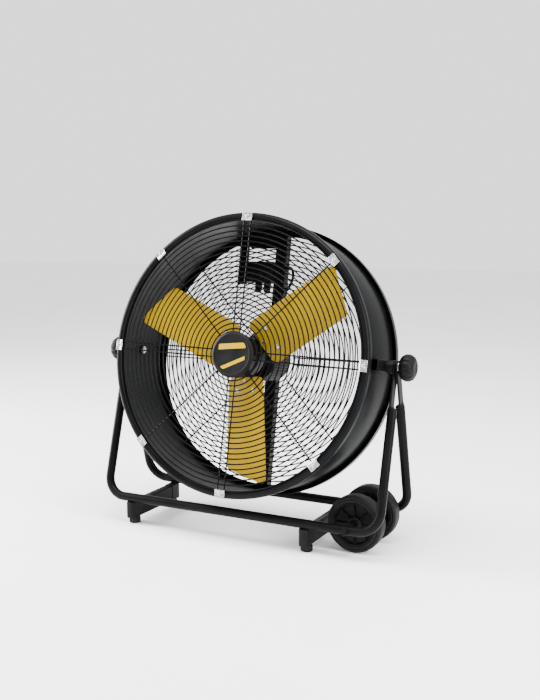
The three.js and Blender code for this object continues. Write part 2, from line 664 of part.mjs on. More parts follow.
function motorParts() {
  const facets = MOTOR_FACETS;
  const bearingSeat = BEARING_RADIUS + GAP;
  const lip = 1.5;
  const stator = ring(STATOR_BORE, MOTOR_RADIUS, statorFront, statorRear, facets);
  const [x, y, z] = LEAD_POINTS[0];
  const leadCollar = alongZ(rod(LEAD_RADIUS + 4, MOTOR_RADIUS - 3, z - GAP)).translate(x, y, 0);
  const frontShield = turned([
    [SHAFT_RADIUS + 1, MOTOR_FRONT], [MOTOR_RADIUS - 5, MOTOR_FRONT], [MOTOR_RADIUS, MOTOR_FRONT + 4],
    [MOTOR_RADIUS, statorFront - GAP], [bearingSeat, statorFront - GAP], [bearingSeat, MOTOR_FRONT + lip],
    [SHAFT_RADIUS + 1, MOTOR_FRONT + lip],
  ], facets);
  const rearStart = statorRear + GAP;
  const pocketEnd = rearStart + BEARING_WIDTH + 2 * GAP;
  const rearShield = turned([
    [0, motorRear], [MOTOR_RADIUS - 6, motorRear], [MOTOR_RADIUS, motorRear - 5], [MOTOR_RADIUS, rearStart],
    [bearingSeat, rearStart], [bearingSeat, pocketEnd], [0, pocketEnd],
  ], facets);
  const holes = motorBoltZ.map((boltZ) =>
    rod(MOTOR_BOLT_RADIUS + GAP, motorRear - 10, motorRear + 1).translate(0, 0, boltZ));
  const bearing = (from, to) => ring(SHAFT_RADIUS + GAP, BEARING_RADIUS, from, to, 16);
  const frontBearing = bearing(MOTOR_FRONT + lip + GAP, statorFront - GAP);
  const rearBearing = bearing(rearStart + GAP, rearStart + GAP + BEARING_WIDTH);
  return [
    mesh('motor_stator', join(stator, leadCollar), 'motorBlack'),
    mesh('motor_front_shield', closed(frontShield), 'motorBlack'),
    mesh('motor_rear_shield', cut(rearShield, ...holes), 'motorBlack'),
    mesh('motor_front_bearing', closed(frontBearing), 'bareSteel'),
    mesh('motor_rear_bearing', closed(rearBearing), 'bareSteel'),
  ];
}

// ---------------------------------------------------------------- beam, strap and control box

const boxRight = -BEAM_WIDTH / 2 - GAP;
const boxLeft = boxRight - BOX_WIDTH;
const strapX = boxLeft - GAP - STRAP_WIDTH / 2;
const boxTop = BOX_BOTTOM + BOX_HEIGHT;
const boxBack = beamFront + BOX_DEPTH;
const leadY = beamFront + BOX_DEPTH / 2;
const leadEntryZ = boxTop - 13;

function strapBoltZ() {
  return Math.sqrt(BEAM_BOLT_CIRCLE ** 2 - strapX ** 2);
}

function beamBoltSpots() {
  const half = BEAM_BOLT_SPACING / 2;
  const z = Math.sqrt(BEAM_BOLT_CIRCLE ** 2 - half ** 2);
  return [[strapX, strapBoltZ()], [-half, z], [half, z], [-half, -z], [half, -z]];
}

// A channel that opens to the rear, standing upright in the drum's frame.
function channel(x, width, depth, bottom, top) {
  const [half, wall, front, back] = [width / 2, BEAM_WALL, beamFront, beamFront + depth];
  const section = [
    [x - half, front], [x + half, front], [x + half, back], [x + half - wall, back],
    [x + half - wall, front + wall], [x - half + wall, front + wall],
    [x - half + wall, back], [x - half, back],
  ];
  return prism(section, top - bottom).translate(0, 0, bottom);
}

// A plate that reaches from the strap's web to the beam's side. Its top edge rises with the flange.
function tiePlate() {
  const [start, chamfer] = [strapX + STRAP_WIDTH / 2 - BEAM_WALL, 8];
  const outline = [
    [start, STRAP_TOP], [start, TIE_BOTTOM + chamfer], [start + 2 * chamfer, TIE_BOTTOM],
    [boxRight, TIE_BOTTOM], [boxRight, TIE_TOP],
  ];
  return prism(outline, BEAM_WALL).rotateX(Math.PI / 2).translate(0, beamFront + BEAM_WALL, 0);
}

// The beam and the strap are each bolted to the rear flange, on spacers that clear the guard.
// The bolts that hold the motor come through the beam from behind.
function beamParts() {
  const leadHole = alongX(rod(LEAD_RADIUS + 1, -BEAM_WIDTH, BEAM_WIDTH)).translate(0, leadY, leadEntryZ);
  const beam = cut(channel(0, BEAM_WIDTH, BEAM_DEPTH, -BEAM_HALF_LENGTH, BEAM_HALF_LENGTH), leadHole);
  const strapBar = channel(strapX, STRAP_WIDTH, STRAP_DEPTH, STRAP_BOTTOM, STRAP_TOP);
  const strap = join(strapBar, tiePlate());

  const seat = rearInside - GAP;
  const webBack = beamFront + BEAM_WALL;
  const bolt = turned([
    [0, seat - 4], [5, seat - 4], [5, seat], [BEAM_BOLT_RADIUS, seat], [BEAM_BOLT_RADIUS, REAR_FACE + GAP],
    [5.5, REAR_FACE + GAP], [5.5, beamFront + 1], [BEAM_BOLT_RADIUS, beamFront + 1],
    [BEAM_BOLT_RADIUS, webBack - 1], [5.5, webBack - 1], [5.5, webBack + 5], [0, webBack + 5],
  ], 6);
  const [strapSpot, ...beamSpots] = beamBoltSpots();
  const boltAt = ([x, z]) => bolt.clone().translate(x, 0, z);
  const motorBolts = motorBoltZ.map((z) =>
    panScrew(MOTOR_BOLT_RADIUS, webBack - 0.5, motorRear - 9, 4).translate(0, 0, z));
  return [
    mesh('motor_beam', join(beam, ...beamSpots.map(boltAt), ...motorBolts), 'blackSteel'),
    mesh('box_strap', join(strap, boltAt(strapSpot)), 'blackSteel'),
  ];
}

const glandX = [boxLeft + 0.42 * BOX_WIDTH, boxLeft + 0.72 * BOX_WIDTH];
const switchX = boxRight - SWITCH_INSET;
const switchZ = BOX_BOTTOM + BOX_HEIGHT / 2;

function boxParts() {
  const [midX, midZ] = [(boxLeft + boxRight) / 2, BOX_BOTTOM + BOX_HEIGHT / 2];
  const midY = (beamFront + boxBack) / 2;
  const outside = box(BOX_WIDTH, BOX_DEPTH, BOX_HEIGHT, midX, midY, midZ);
  const hollow = box(
    BOX_WIDTH - 2 * BOX_WALL, BOX_DEPTH, BOX_HEIGHT - 2 * BOX_WALL, midX, midY + BOX_WALL, midZ);
  const glandHoles = glandX.map((x) =>
    alongZ(rod(GLAND_STUB_RADIUS + GAP, -2 * BOX_WALL, 2 * BOX_WALL, 12)).translate(x, leadY, BOX_BOTTOM));
  const leadHole = alongX(rod(LEAD_RADIUS + 1, -2 * BOX_WALL, 2 * BOX_WALL));
  leadHole.translate(boxRight, leadY, leadEntryZ);

  const lidFront = boxBack + GAP;
  const lidBack = lidFront + LID_THICKNESS;
  const lid = cut(
    box(BOX_WIDTH, LID_THICKNESS, BOX_HEIGHT, midX, (lidFront + lidBack) / 2, midZ),
    rod(SWITCH_STEM_RADIUS + GAP, lidFront - 1, lidBack + 1, 12).translate(switchX, 0, switchZ),
  );
  // The switch hangs from the lid's inside.
  const switchBody = cut(
    box(SWITCH_BODY, SWITCH_BODY - 2, SWITCH_BODY, switchX, lidFront - GAP - (SWITCH_BODY - 2) / 2, switchZ),
    rod(SWITCH_STEM_RADIUS + GAP, lidFront - 12, lidFront + 1, 12).translate(switchX, 0, switchZ),
  );
  const capacitor = alongX(rod(CAPACITOR_RADIUS, 0, CAPACITOR_LENGTH, 12));
  const fromWall = BOX_WALL + GAP;
  capacitor.translate(
    boxLeft + fromWall, beamFront + fromWall + CAPACITOR_RADIUS, boxTop - fromWall - CAPACITOR_RADIUS);
  return [
    mesh('control_box', cut(outside, hollow, ...glandHoles, leadHole), 'blackPlastic'),
    mesh('control_box_lid', lid, 'blackPlastic'),
    mesh('switch_body', switchBody, 'blackPlastic'),
    mesh('capacitor', closed(capacitor), 'blackPlastic'),
  ];
}

// A cable gland under the box, with a threaded stub through the box's floor.
function gland(name, x) {
  const low = BOX_BOTTOM - GLAND_LENGTH;
  const seat = BOX_BOTTOM - GAP;
  const stubTop = seat + BOX_WALL + 4;
  const outline = [
    [GLAND_BORE, low], [GLAND_RADIUS - 2.5, low], [GLAND_RADIUS - 1, low + 9], [GLAND_RADIUS, low + 12],
    [GLAND_RADIUS, seat], [GLAND_STUB_RADIUS, seat], [GLAND_STUB_RADIUS, stubTop], [GLAND_BORE, stubTop],
  ];
  const upright = turned(outline, 12).rotateX(Math.PI / 2);
  return mesh(name, closed(upright.translate(x, leadY, 0)), 'blackPlastic');
}

// The knob on the back of the control box, on a stem that reaches into the switch.
function switchKnob() {
  const seat = boxBack + 2 * GAP + LID_THICKNESS;
  const back = seat + KNOB_SWITCH_DEPTH;
  const body = turned([
    [0, seat - 10], [SWITCH_STEM_RADIUS, seat - 10], [SWITCH_STEM_RADIUS, seat], [KNOB_SWITCH_RADIUS, seat],
    [KNOB_SWITCH_RADIUS, seat + 4], [KNOB_SWITCH_RADIUS - 2, seat + 4],
    [KNOB_SWITCH_RADIUS - 3, back - 1], [0, back - 1],
  ], 16);
  const pointerDepth = KNOB_SWITCH_DEPTH - 5;
  const pointer = box(4, pointerDepth, 2 * KNOB_SWITCH_RADIUS - 4, 0, back - pointerDepth / 2, 0);
  const knob = mesh('switch_knob', join(body, pointer), 'blackPlastic');
  knob.position.set(switchX, 0, switchZ);
  return knob;
}

// The motor's lead: up from its terminal, out between two guard rings, round in a loop beside the
// beam and through the beam's sides into the box.
const LEAD_POINTS = [
  [0, 58, 60], [0, 58, 68], [3, 60, 88], [12, 66, 122], [21, 76, 154], [24, 87, 171], [24, 97, 175.6],
  [24, 104, 176.6], [25, 112, 184], [29, 118, 200], [32, 119, 216], [29, 118, 231], [23, 117.5, 237],
  [16, 117, 237.5],
];

function motorLead() {
  const route = LEAD_POINTS.map(([x, y, z]) => new THREE.Vector3(x, y, z));
  const last = route[route.length - 1];
  last.set(BEAM_WIDTH / 2 + 2, leadY, leadEntryZ);
  route.push(new THREE.Vector3(BEAM_WIDTH / 2 - 6, leadY, leadEntryZ));
  route.push(new THREE.Vector3(boxRight, leadY, leadEntryZ));
  route.push(new THREE.Vector3(boxRight - BOX_WALL - 4, leadY, leadEntryZ));
  const curve = new THREE.CatmullRomCurve3(route, false, 'centripetal');
  const steps = 26;
  const points = curve.getSpacedPoints(steps);
  const tangents = points.map((_, i) => curve.getTangentAt(i / steps));
  return mesh('motor_lead', closed(sweep(new StationPath(points, tangents), LEAD_RADIUS, 6)), 'rubber');
}

// ---------------------------------------------------------------- rotor

function bladePitch(radius) {
  return THREE.MathUtils.mapLinear(radius, BLADE_ROOT_RADIUS, TIP_RADIUS, ROOT_PITCH, TIP_PITCH);
}

// A place on or beside the blade's sheet: radius along it, across it, and height off its face.
// The sheet is twisted along the blade and folded a little along its middle line.
function onBlade(radius, across, height) {
  const pitch = bladePitch(radius);
  const fold = 0.055 * Math.abs(across);
  const [c, s] = [Math.cos(pitch), Math.sin(pitch)];
  const x = across * c - (height + fold) * s;
  const y = BLADE_PLANE + across * s + (height + fold) * c;
  return new THREE.Vector3(x, y, radius);
}

// Stations along a sheet, closer together where its corners are rounded.
function sheetStations(length, roundness, steps) {
  const middle = Array.from({ length: steps + 1 }, (_, i) =>
    THREE.MathUtils.lerp(roundness, length - roundness, i / steps));
  return [0, 0.3 * roundness, ...middle, length - 0.3 * roundness, length];
}

// Bends a unit block into a sheet from the inner radius outwards, with its corners rounded off.
// The outer edge slants inwards by slant towards the side that leads when the rotor turns.
function bladeSheet({ inner, length, width, top, roundness, slant, across, along }) {
  const stations = sheetStations(length, roundness, along);
  const last = stations.length - 1;
  const sheet = new THREE.BoxGeometry(1, 1, 1, across, 1, last);
  const corner = sheet.attributes.position;
  for (let i = 0; i < corner.count; i++) {
    const side = 2 * corner.getX(i);
    const station = stations[Math.round((corner.getZ(i) + 0.5) * last)];
    const fromEnd = Math.min(station, length - station, roundness);
    const inset = roundness - Math.sqrt(roundness ** 2 - (roundness - fromEnd) ** 2);
    const radius = inner + station - slant * (station / length) * (side + 1) / 2;
    const height = corner.getY(i) > 0 ? top : top - BLADE_SHEET;
    const place = onBlade(radius, side * (width / 2 - inset), height);
    corner.setXYZ(i, place.x, place.y, place.z);
  }
  return sheet;
}

// Moves a piece made along Y at the origin to a rivet's place on the blade, square to the sheet.
function squareToBlade(geometry, radius, across) {
  const turn = new THREE.Matrix4().makeRotationZ(bladePitch(radius));
  const place = onBlade(radius, across, 0);
  return geometry.clone().applyMatrix4(turn).translate(place.x, place.y, place.z);
}

function bladeAngles() {
  return Array.from({ length: BLADE_COUNT }, (_, i) => FIRST_BLADE_ANGLE + (2 * Math.PI * i) / BLADE_COUNT);
}

const armTop = BLADE_SHEET + GAP + BLADE_SHEET;

function blades() {
  const sheet = bladeSheet({
    inner: BLADE_ROOT_RADIUS, length: BLADE_LENGTH, width: BLADE_WIDTH, top: BLADE_SHEET,
    roundness: 14, slant: TIP_SLANT, across: 4, along: 6,
  });
  const hole = rod(RIVET_RADIUS + GAP, -2, 2 * BLADE_SHEET, 6);
  const drilled = cut(sheet, ...RIVET_SPOTS.map(([radius, across]) => squareToBlade(hole, radius, across)));
  return bladeAngles().map((angle, i) =>
    mesh(`blade_${i + 1}`, closed(atAngle(drilled, angle)), 'yellowSteel'));
}

// The rivets stand on the hub's arms and are closed over the front of the blades.
function rivets() {
  const [head, seat] = [1.6, -2 * GAP];
  const rivet = turned([
    [0, seat - head], [RIVET_HEAD_RADIUS, seat - head], [RIVET_HEAD_RADIUS, seat], [RIVET_RADIUS, seat],
    [RIVET_RADIUS, armTop - 1], [0, armTop - 1],
  ], 6);
  return bladeAngles().flatMap((angle) => RIVET_SPOTS.map(([radius, across]) =>
    atAngle(squareToBlade(rivet, radius, across), angle)));
}

// The hub: a cup pressed on the shaft, with an arm behind each blade.
function hub() {
  const rear = BLADE_PLANE + 14;
  const cup = turned([
    [SHAFT_RADIUS + GAP, HUB_FRONT], [BOSS_RADIUS, HUB_FRONT], [HUB_RADIUS - 6, HUB_FRONT + 2],
    [HUB_RADIUS, HUB_FRONT + 8],
    [HUB_RADIUS, rear], [HUB_RADIUS - HUB_WALL, rear], [HUB_RADIUS - HUB_WALL, HUB_FRONT + 10],
    [BOSS_RADIUS, HUB_FRONT + 6], [BOSS_RADIUS, -4], [SHAFT_RADIUS + GAP, -4],
  ], 24);
  const arm = bladeSheet({
    inner: HUB_RADIUS - HUB_WALL, length: ARM_TIP_RADIUS - HUB_RADIUS, width: ARM_WIDTH, top: armTop,
    roundness: 10, slant: 0, across: 2, along: 2,
  });
  const arms = bladeAngles().map((angle) => atAngle(arm, angle));
  return mesh('rotor_hub', join(cup, ...arms, ...rivets()), 'motorBlack');
}

// Shaft, its retaining nut in front of the hub, and the rotor core inside the motor.
function shaftParts() {
  const rearEnd = statorRear + GAP + BEARING_WIDTH;
  const thread = 10;
  const shaft = rod(SHAFT_RADIUS, HUB_FRONT - thread, rearEnd, 16);
  const nut = hexNut(SHAFT_RADIUS + GAP, SHAFT_NUT_RADIUS, HUB_FRONT - thread, HUB_FRONT - GAP, 16);
  const core = ring(SHAFT_RADIUS + GAP, STATOR_BORE - 1, statorFront + 4, statorRear - 4, 24);
  return [
    mesh('motor_shaft', closed(shaft), 'bareSteel'),
    mesh('shaft_nut', nut, 'zincSteel'),
    mesh('motor_core', closed(core), 'bareSteel'),
  ];
}

// ---------------------------------------------------------------- pivots

const bracketInner = shellOuter + GAP;
const bracketOuter = bracketInner + BRACKET_DEPTH;
const innerEyeFace = TUBE_SPREAD - EYE_THICKNESS - GAP / 2;
const outerEyeFace = TUBE_SPREAD + EYE_THICKNESS + GAP / 2;
const washerOuter = outerEyeFace + GAP + WASHER_THICKNESS;
const knobInner = washerOuter + GAP;

// A piece made for the right side, turned round for the left where that is asked for.
function onSide(geometry, side) {
  return side > 0 ? geometry : geometry.clone().rotateY(Math.PI);
}

// What the drum carries at one side's pivot. It is made for the right side.
function pivotParts(name, side) {
  const hole = PIVOT_BOLT_RADIUS + GAP;
  const half = BRACKET_HEIGHT / 2;
  const section = [
    [bracketInner, -half], [bracketOuter, -half], [bracketOuter, half], [bracketInner, half],
    [bracketInner, half - BRACKET_WALL], [bracketOuter - BRACKET_WALL, half - BRACKET_WALL],
    [bracketOuter - BRACKET_WALL, -half + BRACKET_WALL], [bracketInner, -half + BRACKET_WALL],
  ];
  const bar = prism(section, BRACKET_LENGTH).rotateX(Math.PI / 2).translate(0, BRACKET_LENGTH / 2, 0);
  const bracket = cut(bar, alongX(rod(hole, 0, 2 * TUBE_SPREAD, 12)));
  const spacer = alongX(ring(hole, PIVOT_SPACER_RADIUS, bracketOuter + GAP, innerEyeFace - GAP, 16));
  const headBack = SHELL_RADIUS - 2;
  const boltEnd = knobInner + KNOB_WIDTH - 8;
  const bolt = alongX(turned([
    [0, headBack - 5], [10, headBack - 5], [10, headBack], [PIVOT_BOLT_RADIUS, headBack],
    [PIVOT_BOLT_RADIUS, boltEnd], [0, boltEnd],
  ], 12));
  return [
    mesh(`${name}_pivot_bracket`, closed(onSide(bracket, side)), 'blackSteel'),
    mesh(`${name}_pivot_spacer`, closed(onSide(spacer, side)), 'blackPlastic'),
    mesh(`${name}_pivot_bolt`, closed(onSide(bolt, side)), 'zincSteel'),
  ];
}

function pivotWasher(name, side) {
  const washer = alongX(ring(PIVOT_BOLT_RADIUS + GAP, WASHER_RADIUS, outerEyeFace + GAP, washerOuter, 12));
  const made = mesh(name, closed(onSide(washer, side)), 'zincSteel');
  made.position.z = PIVOT_HEIGHT;
  return made;
}

// The fluted hand knob that clamps the tilt. Its bore is blind, so its outer face is whole.
function clampKnob(name, side) {
  const outer = knobInner + KNOB_WIDTH;
  const bore = PIVOT_BOLT_RADIUS + GAP;
  const body = alongX(turned([
    [bore, knobInner], [KNOB_RADIUS - 13, knobInner], [KNOB_RADIUS - 5, knobInner + 4],
    [KNOB_RADIUS, knobInner + 13], [KNOB_RADIUS, outer - 14], [KNOB_RADIUS - 4, outer - 6],
    [KNOB_RADIUS - 12, outer - 1], [0, outer], [0, outer - 7], [bore, outer - 7],
  ], 2 * KNOB_LOBES));
  const flutes = Array.from({ length: KNOB_LOBES }, (_, i) => {
    const angle = (2 * Math.PI * (i + 0.5)) / KNOB_LOBES;
    const away = KNOB_RADIUS + KNOB_FLUTE_RADIUS - KNOB_FLUTE_DEPTH;
    const flute = rod(KNOB_FLUTE_RADIUS, knobInner - 1, outer + 1).translate(0, 0, away);
    return alongX(atAngle(flute, angle));
  });
  const shaped = cut(body, ...flutes);
  const knob = mesh(name, closed(onSide(shaped, side)), 'blackPlastic');
  knob.position.z = PIVOT_HEIGHT;
  return knob;
}

// ---------------------------------------------------------------- the fan

function stand() {
  const group = new THREE.Group();
  const eyeShift = (EYE_THICKNESS + GAP) / 2;
  group.add(frameTube('front_frame_tube', BASE_SHIFT - TUBE_STANCE, -eyeShift));
  group.add(frameTube('rear_frame_tube', BASE_SHIFT + TUBE_STANCE, eyeShift));
  group.add(pivotWasher('left_pivot_washer', -1), pivotWasher('right_pivot_washer', 1));
  return group;
}

// What the lower runs carry, built about the middle between them.
function base() {
  const group = new THREE.Group();
  for (const [sideName, x] of [['left', LEFT_BAR_X], ['right', RIGHT_BAR_X]]) {
    group.add(baseBar(`${sideName}_base_bar`, x));
    for (const [endName, end] of [['front', -1], ['rear', 1]]) {
      group.add(footBlock(`${endName}_${sideName}_foot_block`, x, end));
      group.add(rubberFoot(`${endName}_${sideName}_rubber_foot`, x, end));
    }
  }
  group.add(...axleParts(), ...wheel('front_wheel', FRONT_WHEEL_Y), ...wheel('rear_wheel', REAR_WHEEL_Y));
  group.position.y = BASE_SHIFT;
  return group;
}

function drum() {
  const group = new THREE.Group();
  group.add(drumShell());
  group.add(frontGuard(), rearGuard(), ...centreCap());
  group.add(...motorParts(), ...beamParts(), ...boxParts(), gland('left_cable_gland', glandX[0]),
    gland('right_cable_gland', glandX[1]), motorLead(), switchKnob());
  group.add(...shaftParts(), hub(), ...blades());
  group.add(...pivotParts('left', -1), ...pivotParts('right', 1));
  group.position.z = PIVOT_HEIGHT;
  group.rotation.x = -TILT;
  return group;
}

const fan = new THREE.Group();
fan.add(stand(), base(), drum());
fan.add(clampKnob('left_knob', -1), clampKnob('right_knob', 1));

// The origin is on the floor under the middle of the whole fan's box.
fan.updateMatrixWorld(true);
const bounds = new THREE.Box3().setFromObject(fan, true);
fan.position.y = -(bounds.min.y + bounds.max.y) / 2;

export default fan;
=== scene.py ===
# %% [markdown]
# # A drum fan, dressed piece by piece
# The CAD model gives this fan its sizes, its joints and its collision. This script gives it its
# looks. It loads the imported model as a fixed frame, measures it, and builds a smooth surface for
# each piece that the camera can see. Every piece rides on the CAD body that carries it.

# %% Load the frame
import json
import math

import bmesh
import bpy
import numpy as np
from mathutils import Matrix, Vector


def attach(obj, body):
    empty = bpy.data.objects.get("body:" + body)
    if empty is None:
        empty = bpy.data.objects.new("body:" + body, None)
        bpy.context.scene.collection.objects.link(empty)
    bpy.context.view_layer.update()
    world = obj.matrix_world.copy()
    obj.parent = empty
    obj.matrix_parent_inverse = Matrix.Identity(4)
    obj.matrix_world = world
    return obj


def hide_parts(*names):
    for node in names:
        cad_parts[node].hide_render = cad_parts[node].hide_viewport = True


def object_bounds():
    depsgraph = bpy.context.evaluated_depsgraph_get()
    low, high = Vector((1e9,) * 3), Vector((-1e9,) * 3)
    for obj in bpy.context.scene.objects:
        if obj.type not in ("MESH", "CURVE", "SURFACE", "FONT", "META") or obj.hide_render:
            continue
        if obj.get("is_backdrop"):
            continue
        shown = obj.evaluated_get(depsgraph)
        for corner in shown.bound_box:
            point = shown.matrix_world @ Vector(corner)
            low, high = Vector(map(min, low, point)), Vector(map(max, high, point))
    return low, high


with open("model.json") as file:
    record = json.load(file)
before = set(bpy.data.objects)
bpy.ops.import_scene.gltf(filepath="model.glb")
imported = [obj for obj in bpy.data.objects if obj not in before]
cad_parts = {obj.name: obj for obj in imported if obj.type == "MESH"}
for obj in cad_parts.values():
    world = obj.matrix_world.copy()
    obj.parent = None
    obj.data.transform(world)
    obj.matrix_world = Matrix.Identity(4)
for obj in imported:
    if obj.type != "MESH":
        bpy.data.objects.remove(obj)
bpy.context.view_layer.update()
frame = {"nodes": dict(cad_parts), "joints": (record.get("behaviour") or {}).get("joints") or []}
MM = 0.001

# %% [markdown]
# ## Two frames of reference
# The stand is upright, but the drum leans back about its pivot. Pieces of the drum are easiest to
# draw in the drum's own frame, where X runs to the right, Y is the axis that the air follows to
# the rear and Z is up the drum's face. The joints in the record say where that frame lies.

# %% The drum's own frame
joints = {joint["name"]: joint for joint in frame["joints"]}
PIVOT = np.array(joints["drum_tilt"]["pos_m"], float)
axis = np.array(joints["fan_spin"]["axis"], float)
DRUM_AXES = np.array([[1, 0, 0], axis, np.cross([1, 0, 0], axis)])


def from_drum(points):
    """Drum frame to row frame: each point's three numbers weigh the drum's three directions."""
    return np.asarray(points) @ DRUM_AXES + PIVOT


def node_points(name):
    """The corners of a CAD node, as an array with one row per corner."""
    vertices = frame["nodes"][name].data.vertices
    corners = np.empty(3 * len(vertices))
    vertices.foreach_get("co", corners)
    return corners.reshape(-1, 3)


def drum_box(name):
    """Lowest and highest corner of a CAD node in the drum frame."""
    local = (node_points(name) - PIVOT) @ DRUM_AXES.T
    return local.min(0), local.max(0)


def row_box(name):
    """Lowest and highest corner of a CAD node in the row frame."""
    points = node_points(name)
    return points.min(0), points.max(0)


print("pivot", PIVOT.round(4), "tilt", round(math.degrees(math.asin(-axis[2])), 2), "degrees")

# %% [markdown]
# ## The camera
# The camera is made first, at the place the photograph was taken from: well to the right of the
# fan's front and a little above its pivot. The small shifts put the fan where the photograph has it.

# %% Camera
AZIMUTH = math.radians(28.14)
ELEVATION = math.radians(8.105)
ROLL = math.radians(0.364)
DISTANCE = 2.3727
LONG_SIDE = 700
FOCAL_PIXELS = 977.7
SHIFT_PIXELS = (18.53, 7.8)
AIM_IN_FRONT = 9.2 * MM

back = Vector((math.sin(AZIMUTH) * math.cos(ELEVATION), -math.cos(AZIMUTH) * math.cos(ELEVATION),
               math.sin(ELEVATION)))
lens = bpy.data.cameras.new("camera")
lens.sensor_width = 36.0
lens.lens = lens.sensor_width * FOCAL_PIXELS / LONG_SIDE
lens.shift_x = SHIFT_PIXELS[0] / LONG_SIDE
lens.shift_y = SHIFT_PIXELS[1] / LONG_SIDE
camera = bpy.data.objects.new("camera", lens)
bpy.context.scene.collection.objects.link(camera)
camera.location = Vector(PIVOT) + Vector((0, -AIM_IN_FRONT, 0)) + back * DISTANCE
turn = (-back).to_track_quat("-Z", "Y").to_matrix() @ Matrix.Rotation(-ROLL, 3, "Z")
camera.rotation_euler = turn.to_euler()
bpy.context.scene.camera = camera
print("camera at", [round(v, 3) for v in camera.location], "lens", round(lens.lens, 2), "mm")

# %% [markdown]
# ## From formulas to meshes
# Nearly every piece is a section carried along a path: a wire is a circle carried round a ring,
# a turned cap is a profile carried round an axis. A shape is kept as three things until it becomes
# an object: its points, its four-sided faces and its end polygons.


# %% Shapes
def carried(sections, round_path=False, round_section=True):
    """Skin over an array of sections: face (i, j) joins points j and j+1 of sections i and i+1."""
    sections = np.asarray(sections, float)
    rows, columns = sections.shape[:2]
    i, j = np.meshgrid(np.arange(rows if round_path else rows - 1),
                       np.arange(columns if round_section else columns - 1), indexing="ij")
    i_next, j_next = (i + 1) % rows, (j + 1) % columns
    quads = np.stack([i * columns + j, i * columns + j_next,
                      i_next * columns + j_next, i_next * columns + j], -1).reshape(-1, 4)
    ends = []
    if round_section and not round_path:
        ends = [list(range(columns))[::-1], list(range((rows - 1) * columns, rows * columns))]
    return outward((sections.reshape(-1, 3), quads, ends))


def outward(shape):
    """The volume under a skin is a sum of corner products. Where it is negative the faces turn."""
    points, quads, ends = shape
    fans = [[end[0], end[k], end[k + 1]] for end in ends for k in range(1, len(end) - 1)]
    triangles = np.concatenate([quads[:, [0, 1, 2]], quads[:, [0, 2, 3]],
                                np.array(fans, int).reshape(-1, 3)])
    a, b, c = (points[triangles[:, k]] for k in range(3))
    if np.einsum("ij,ij->", a - points.mean(0), np.cross(b - points.mean(0), c - points.mean(0))) < 0:
        return points, quads[:, ::-1], [end[::-1] for end in ends]
    return points, quads, ends


def together(shapes):
    """Several shapes as one, with each one's face numbers moved past the points before it."""
    points, quads, ends, count = [], [], [], 0
    for shape_points, shape_quads, shape_ends in shapes:
        points.append(shape_points)
        quads.append(shape_quads + count)
        ends += [[index + count for index in end] for end in shape_ends]
        count += len(shape_points)
    return np.concatenate(points), np.concatenate(quads), ends


def shifted(shape, change):
    """The same skin with its points put through a function."""
    return outward((change(shape[0]), shape[1], shape[2]))


def moved(shape, place):
    """The same skin carried to another place."""
    return shifted(shape, lambda points: points + np.asarray(place))


def copies(shape, places):
    """One skin made of a copy of the shape at each place."""
    return together([moved(shape, place) for place in places])


print("helpers: carried, outward, together, shifted, moved, copies")

# %% [markdown]
# A turned piece needs a profile, a bent wire needs a path, and a plate needs an outline. Real
# edges are never perfectly sharp, and a small rounding is what catches the light. So `eased`
# swaps each corner of an outline for a short curve.


# %% Profiles, paths and outlines
def eased(outline, radius, steps=3, closed=True):
    """Each corner p becomes a curve (1-t)^2 a + 2t(1-t) p + t^2 b, with a and b on its two sides."""
    outline = np.asarray(outline, float)
    before, after = np.roll(outline, 1, 0) - outline, np.roll(outline, -1, 0) - outline
    t = np.linspace(0, 1, steps + 1)[:, None]
    made = []
    for k, corner in enumerate(outline):
        if not closed and k in (0, len(outline) - 1):
            made.append(corner[None])
            continue
        reach = [min(radius, 0.45 * np.linalg.norm(side)) for side in (before[k], after[k])]
        a, b = (corner + side / np.linalg.norm(side) * length
                for side, length in zip((before[k], after[k]), reach))
        made.append((1 - t) ** 2 * a + 2 * t * (1 - t) * corner + t ** 2 * b)
    return np.concatenate(made)


def turned(profile, facets=64, round_section=True, swell=None):
    """Profile point (r, y) goes to (r cos t, y, r sin t) for t round the circle. swell(t, r) scales r."""
    profile = np.asarray(profile, float)
    t = np.linspace(0, 2 * np.pi, facets, endpoint=False)[:, None]
    radius = profile[None, :, 0] * (1 if swell is None else swell(t, profile[None, :, 0]))
    radius = np.broadcast_to(radius, (facets, len(profile)))
    y = np.broadcast_to(profile[None, :, 1], radius.shape)
    return carried(np.stack([radius * np.cos(t), y, radius * np.sin(t)], -1), True, round_section)


def wire(path, radius, sides=8, closed=False, normal=(0, 1, 0)):
    """A circle carried along a path: centre + r cos a (tangent x normal) + r sin a (the third way)."""
    path = np.asarray(path, float)
    ahead, behind = np.roll(path, -1, 0), np.roll(path, 1, 0)
    if not closed:
        ahead[-1], behind[0] = path[-1], path[0]
    tangent = ahead - behind
    tangent /= np.linalg.norm(tangent, axis=1, keepdims=True)
    across = np.cross(tangent, np.asarray(normal, float))
    across /= np.linalg.norm(across, axis=1, keepdims=True)
    third = np.cross(across, tangent)
    a = np.linspace(0, 2 * np.pi, sides, endpoint=False)[None, :, None]
    radius = np.broadcast_to(np.asarray(radius, float).reshape(-1, 1, 1), (len(path), 1, 1))
    circle = np.cos(a) * across[:, None] + np.sin(a) * third[:, None]
    return carried(path[:, None] + radius * circle, closed)


def pushed(outline, start, end, order=(0, 1, 2)):
    """An outline (a, b) pushed along a third way from start to end. order names those three ways."""
    outline = np.asarray(outline, float)
    sections = np.empty((2, len(outline), 3))
    sections[:, :, order[0]] = outline[:, 0]
    sections[:, :, order[1]] = outline[:, 1]
    sections[:, :, order[2]] = np.array([[start], [end]])
    return carried(sections)


def circle(radius, count=48, start=0.0, sweep=2 * np.pi):
    """Points (r cos t, r sin t) round a circle or, with a shorter sweep, an arc that has both ends."""
    t = start + np.linspace(0, sweep, count, endpoint=abs(sweep) < 2 * np.pi)
    return np.stack([radius * np.cos(t), radius * np.sin(t)], -1)


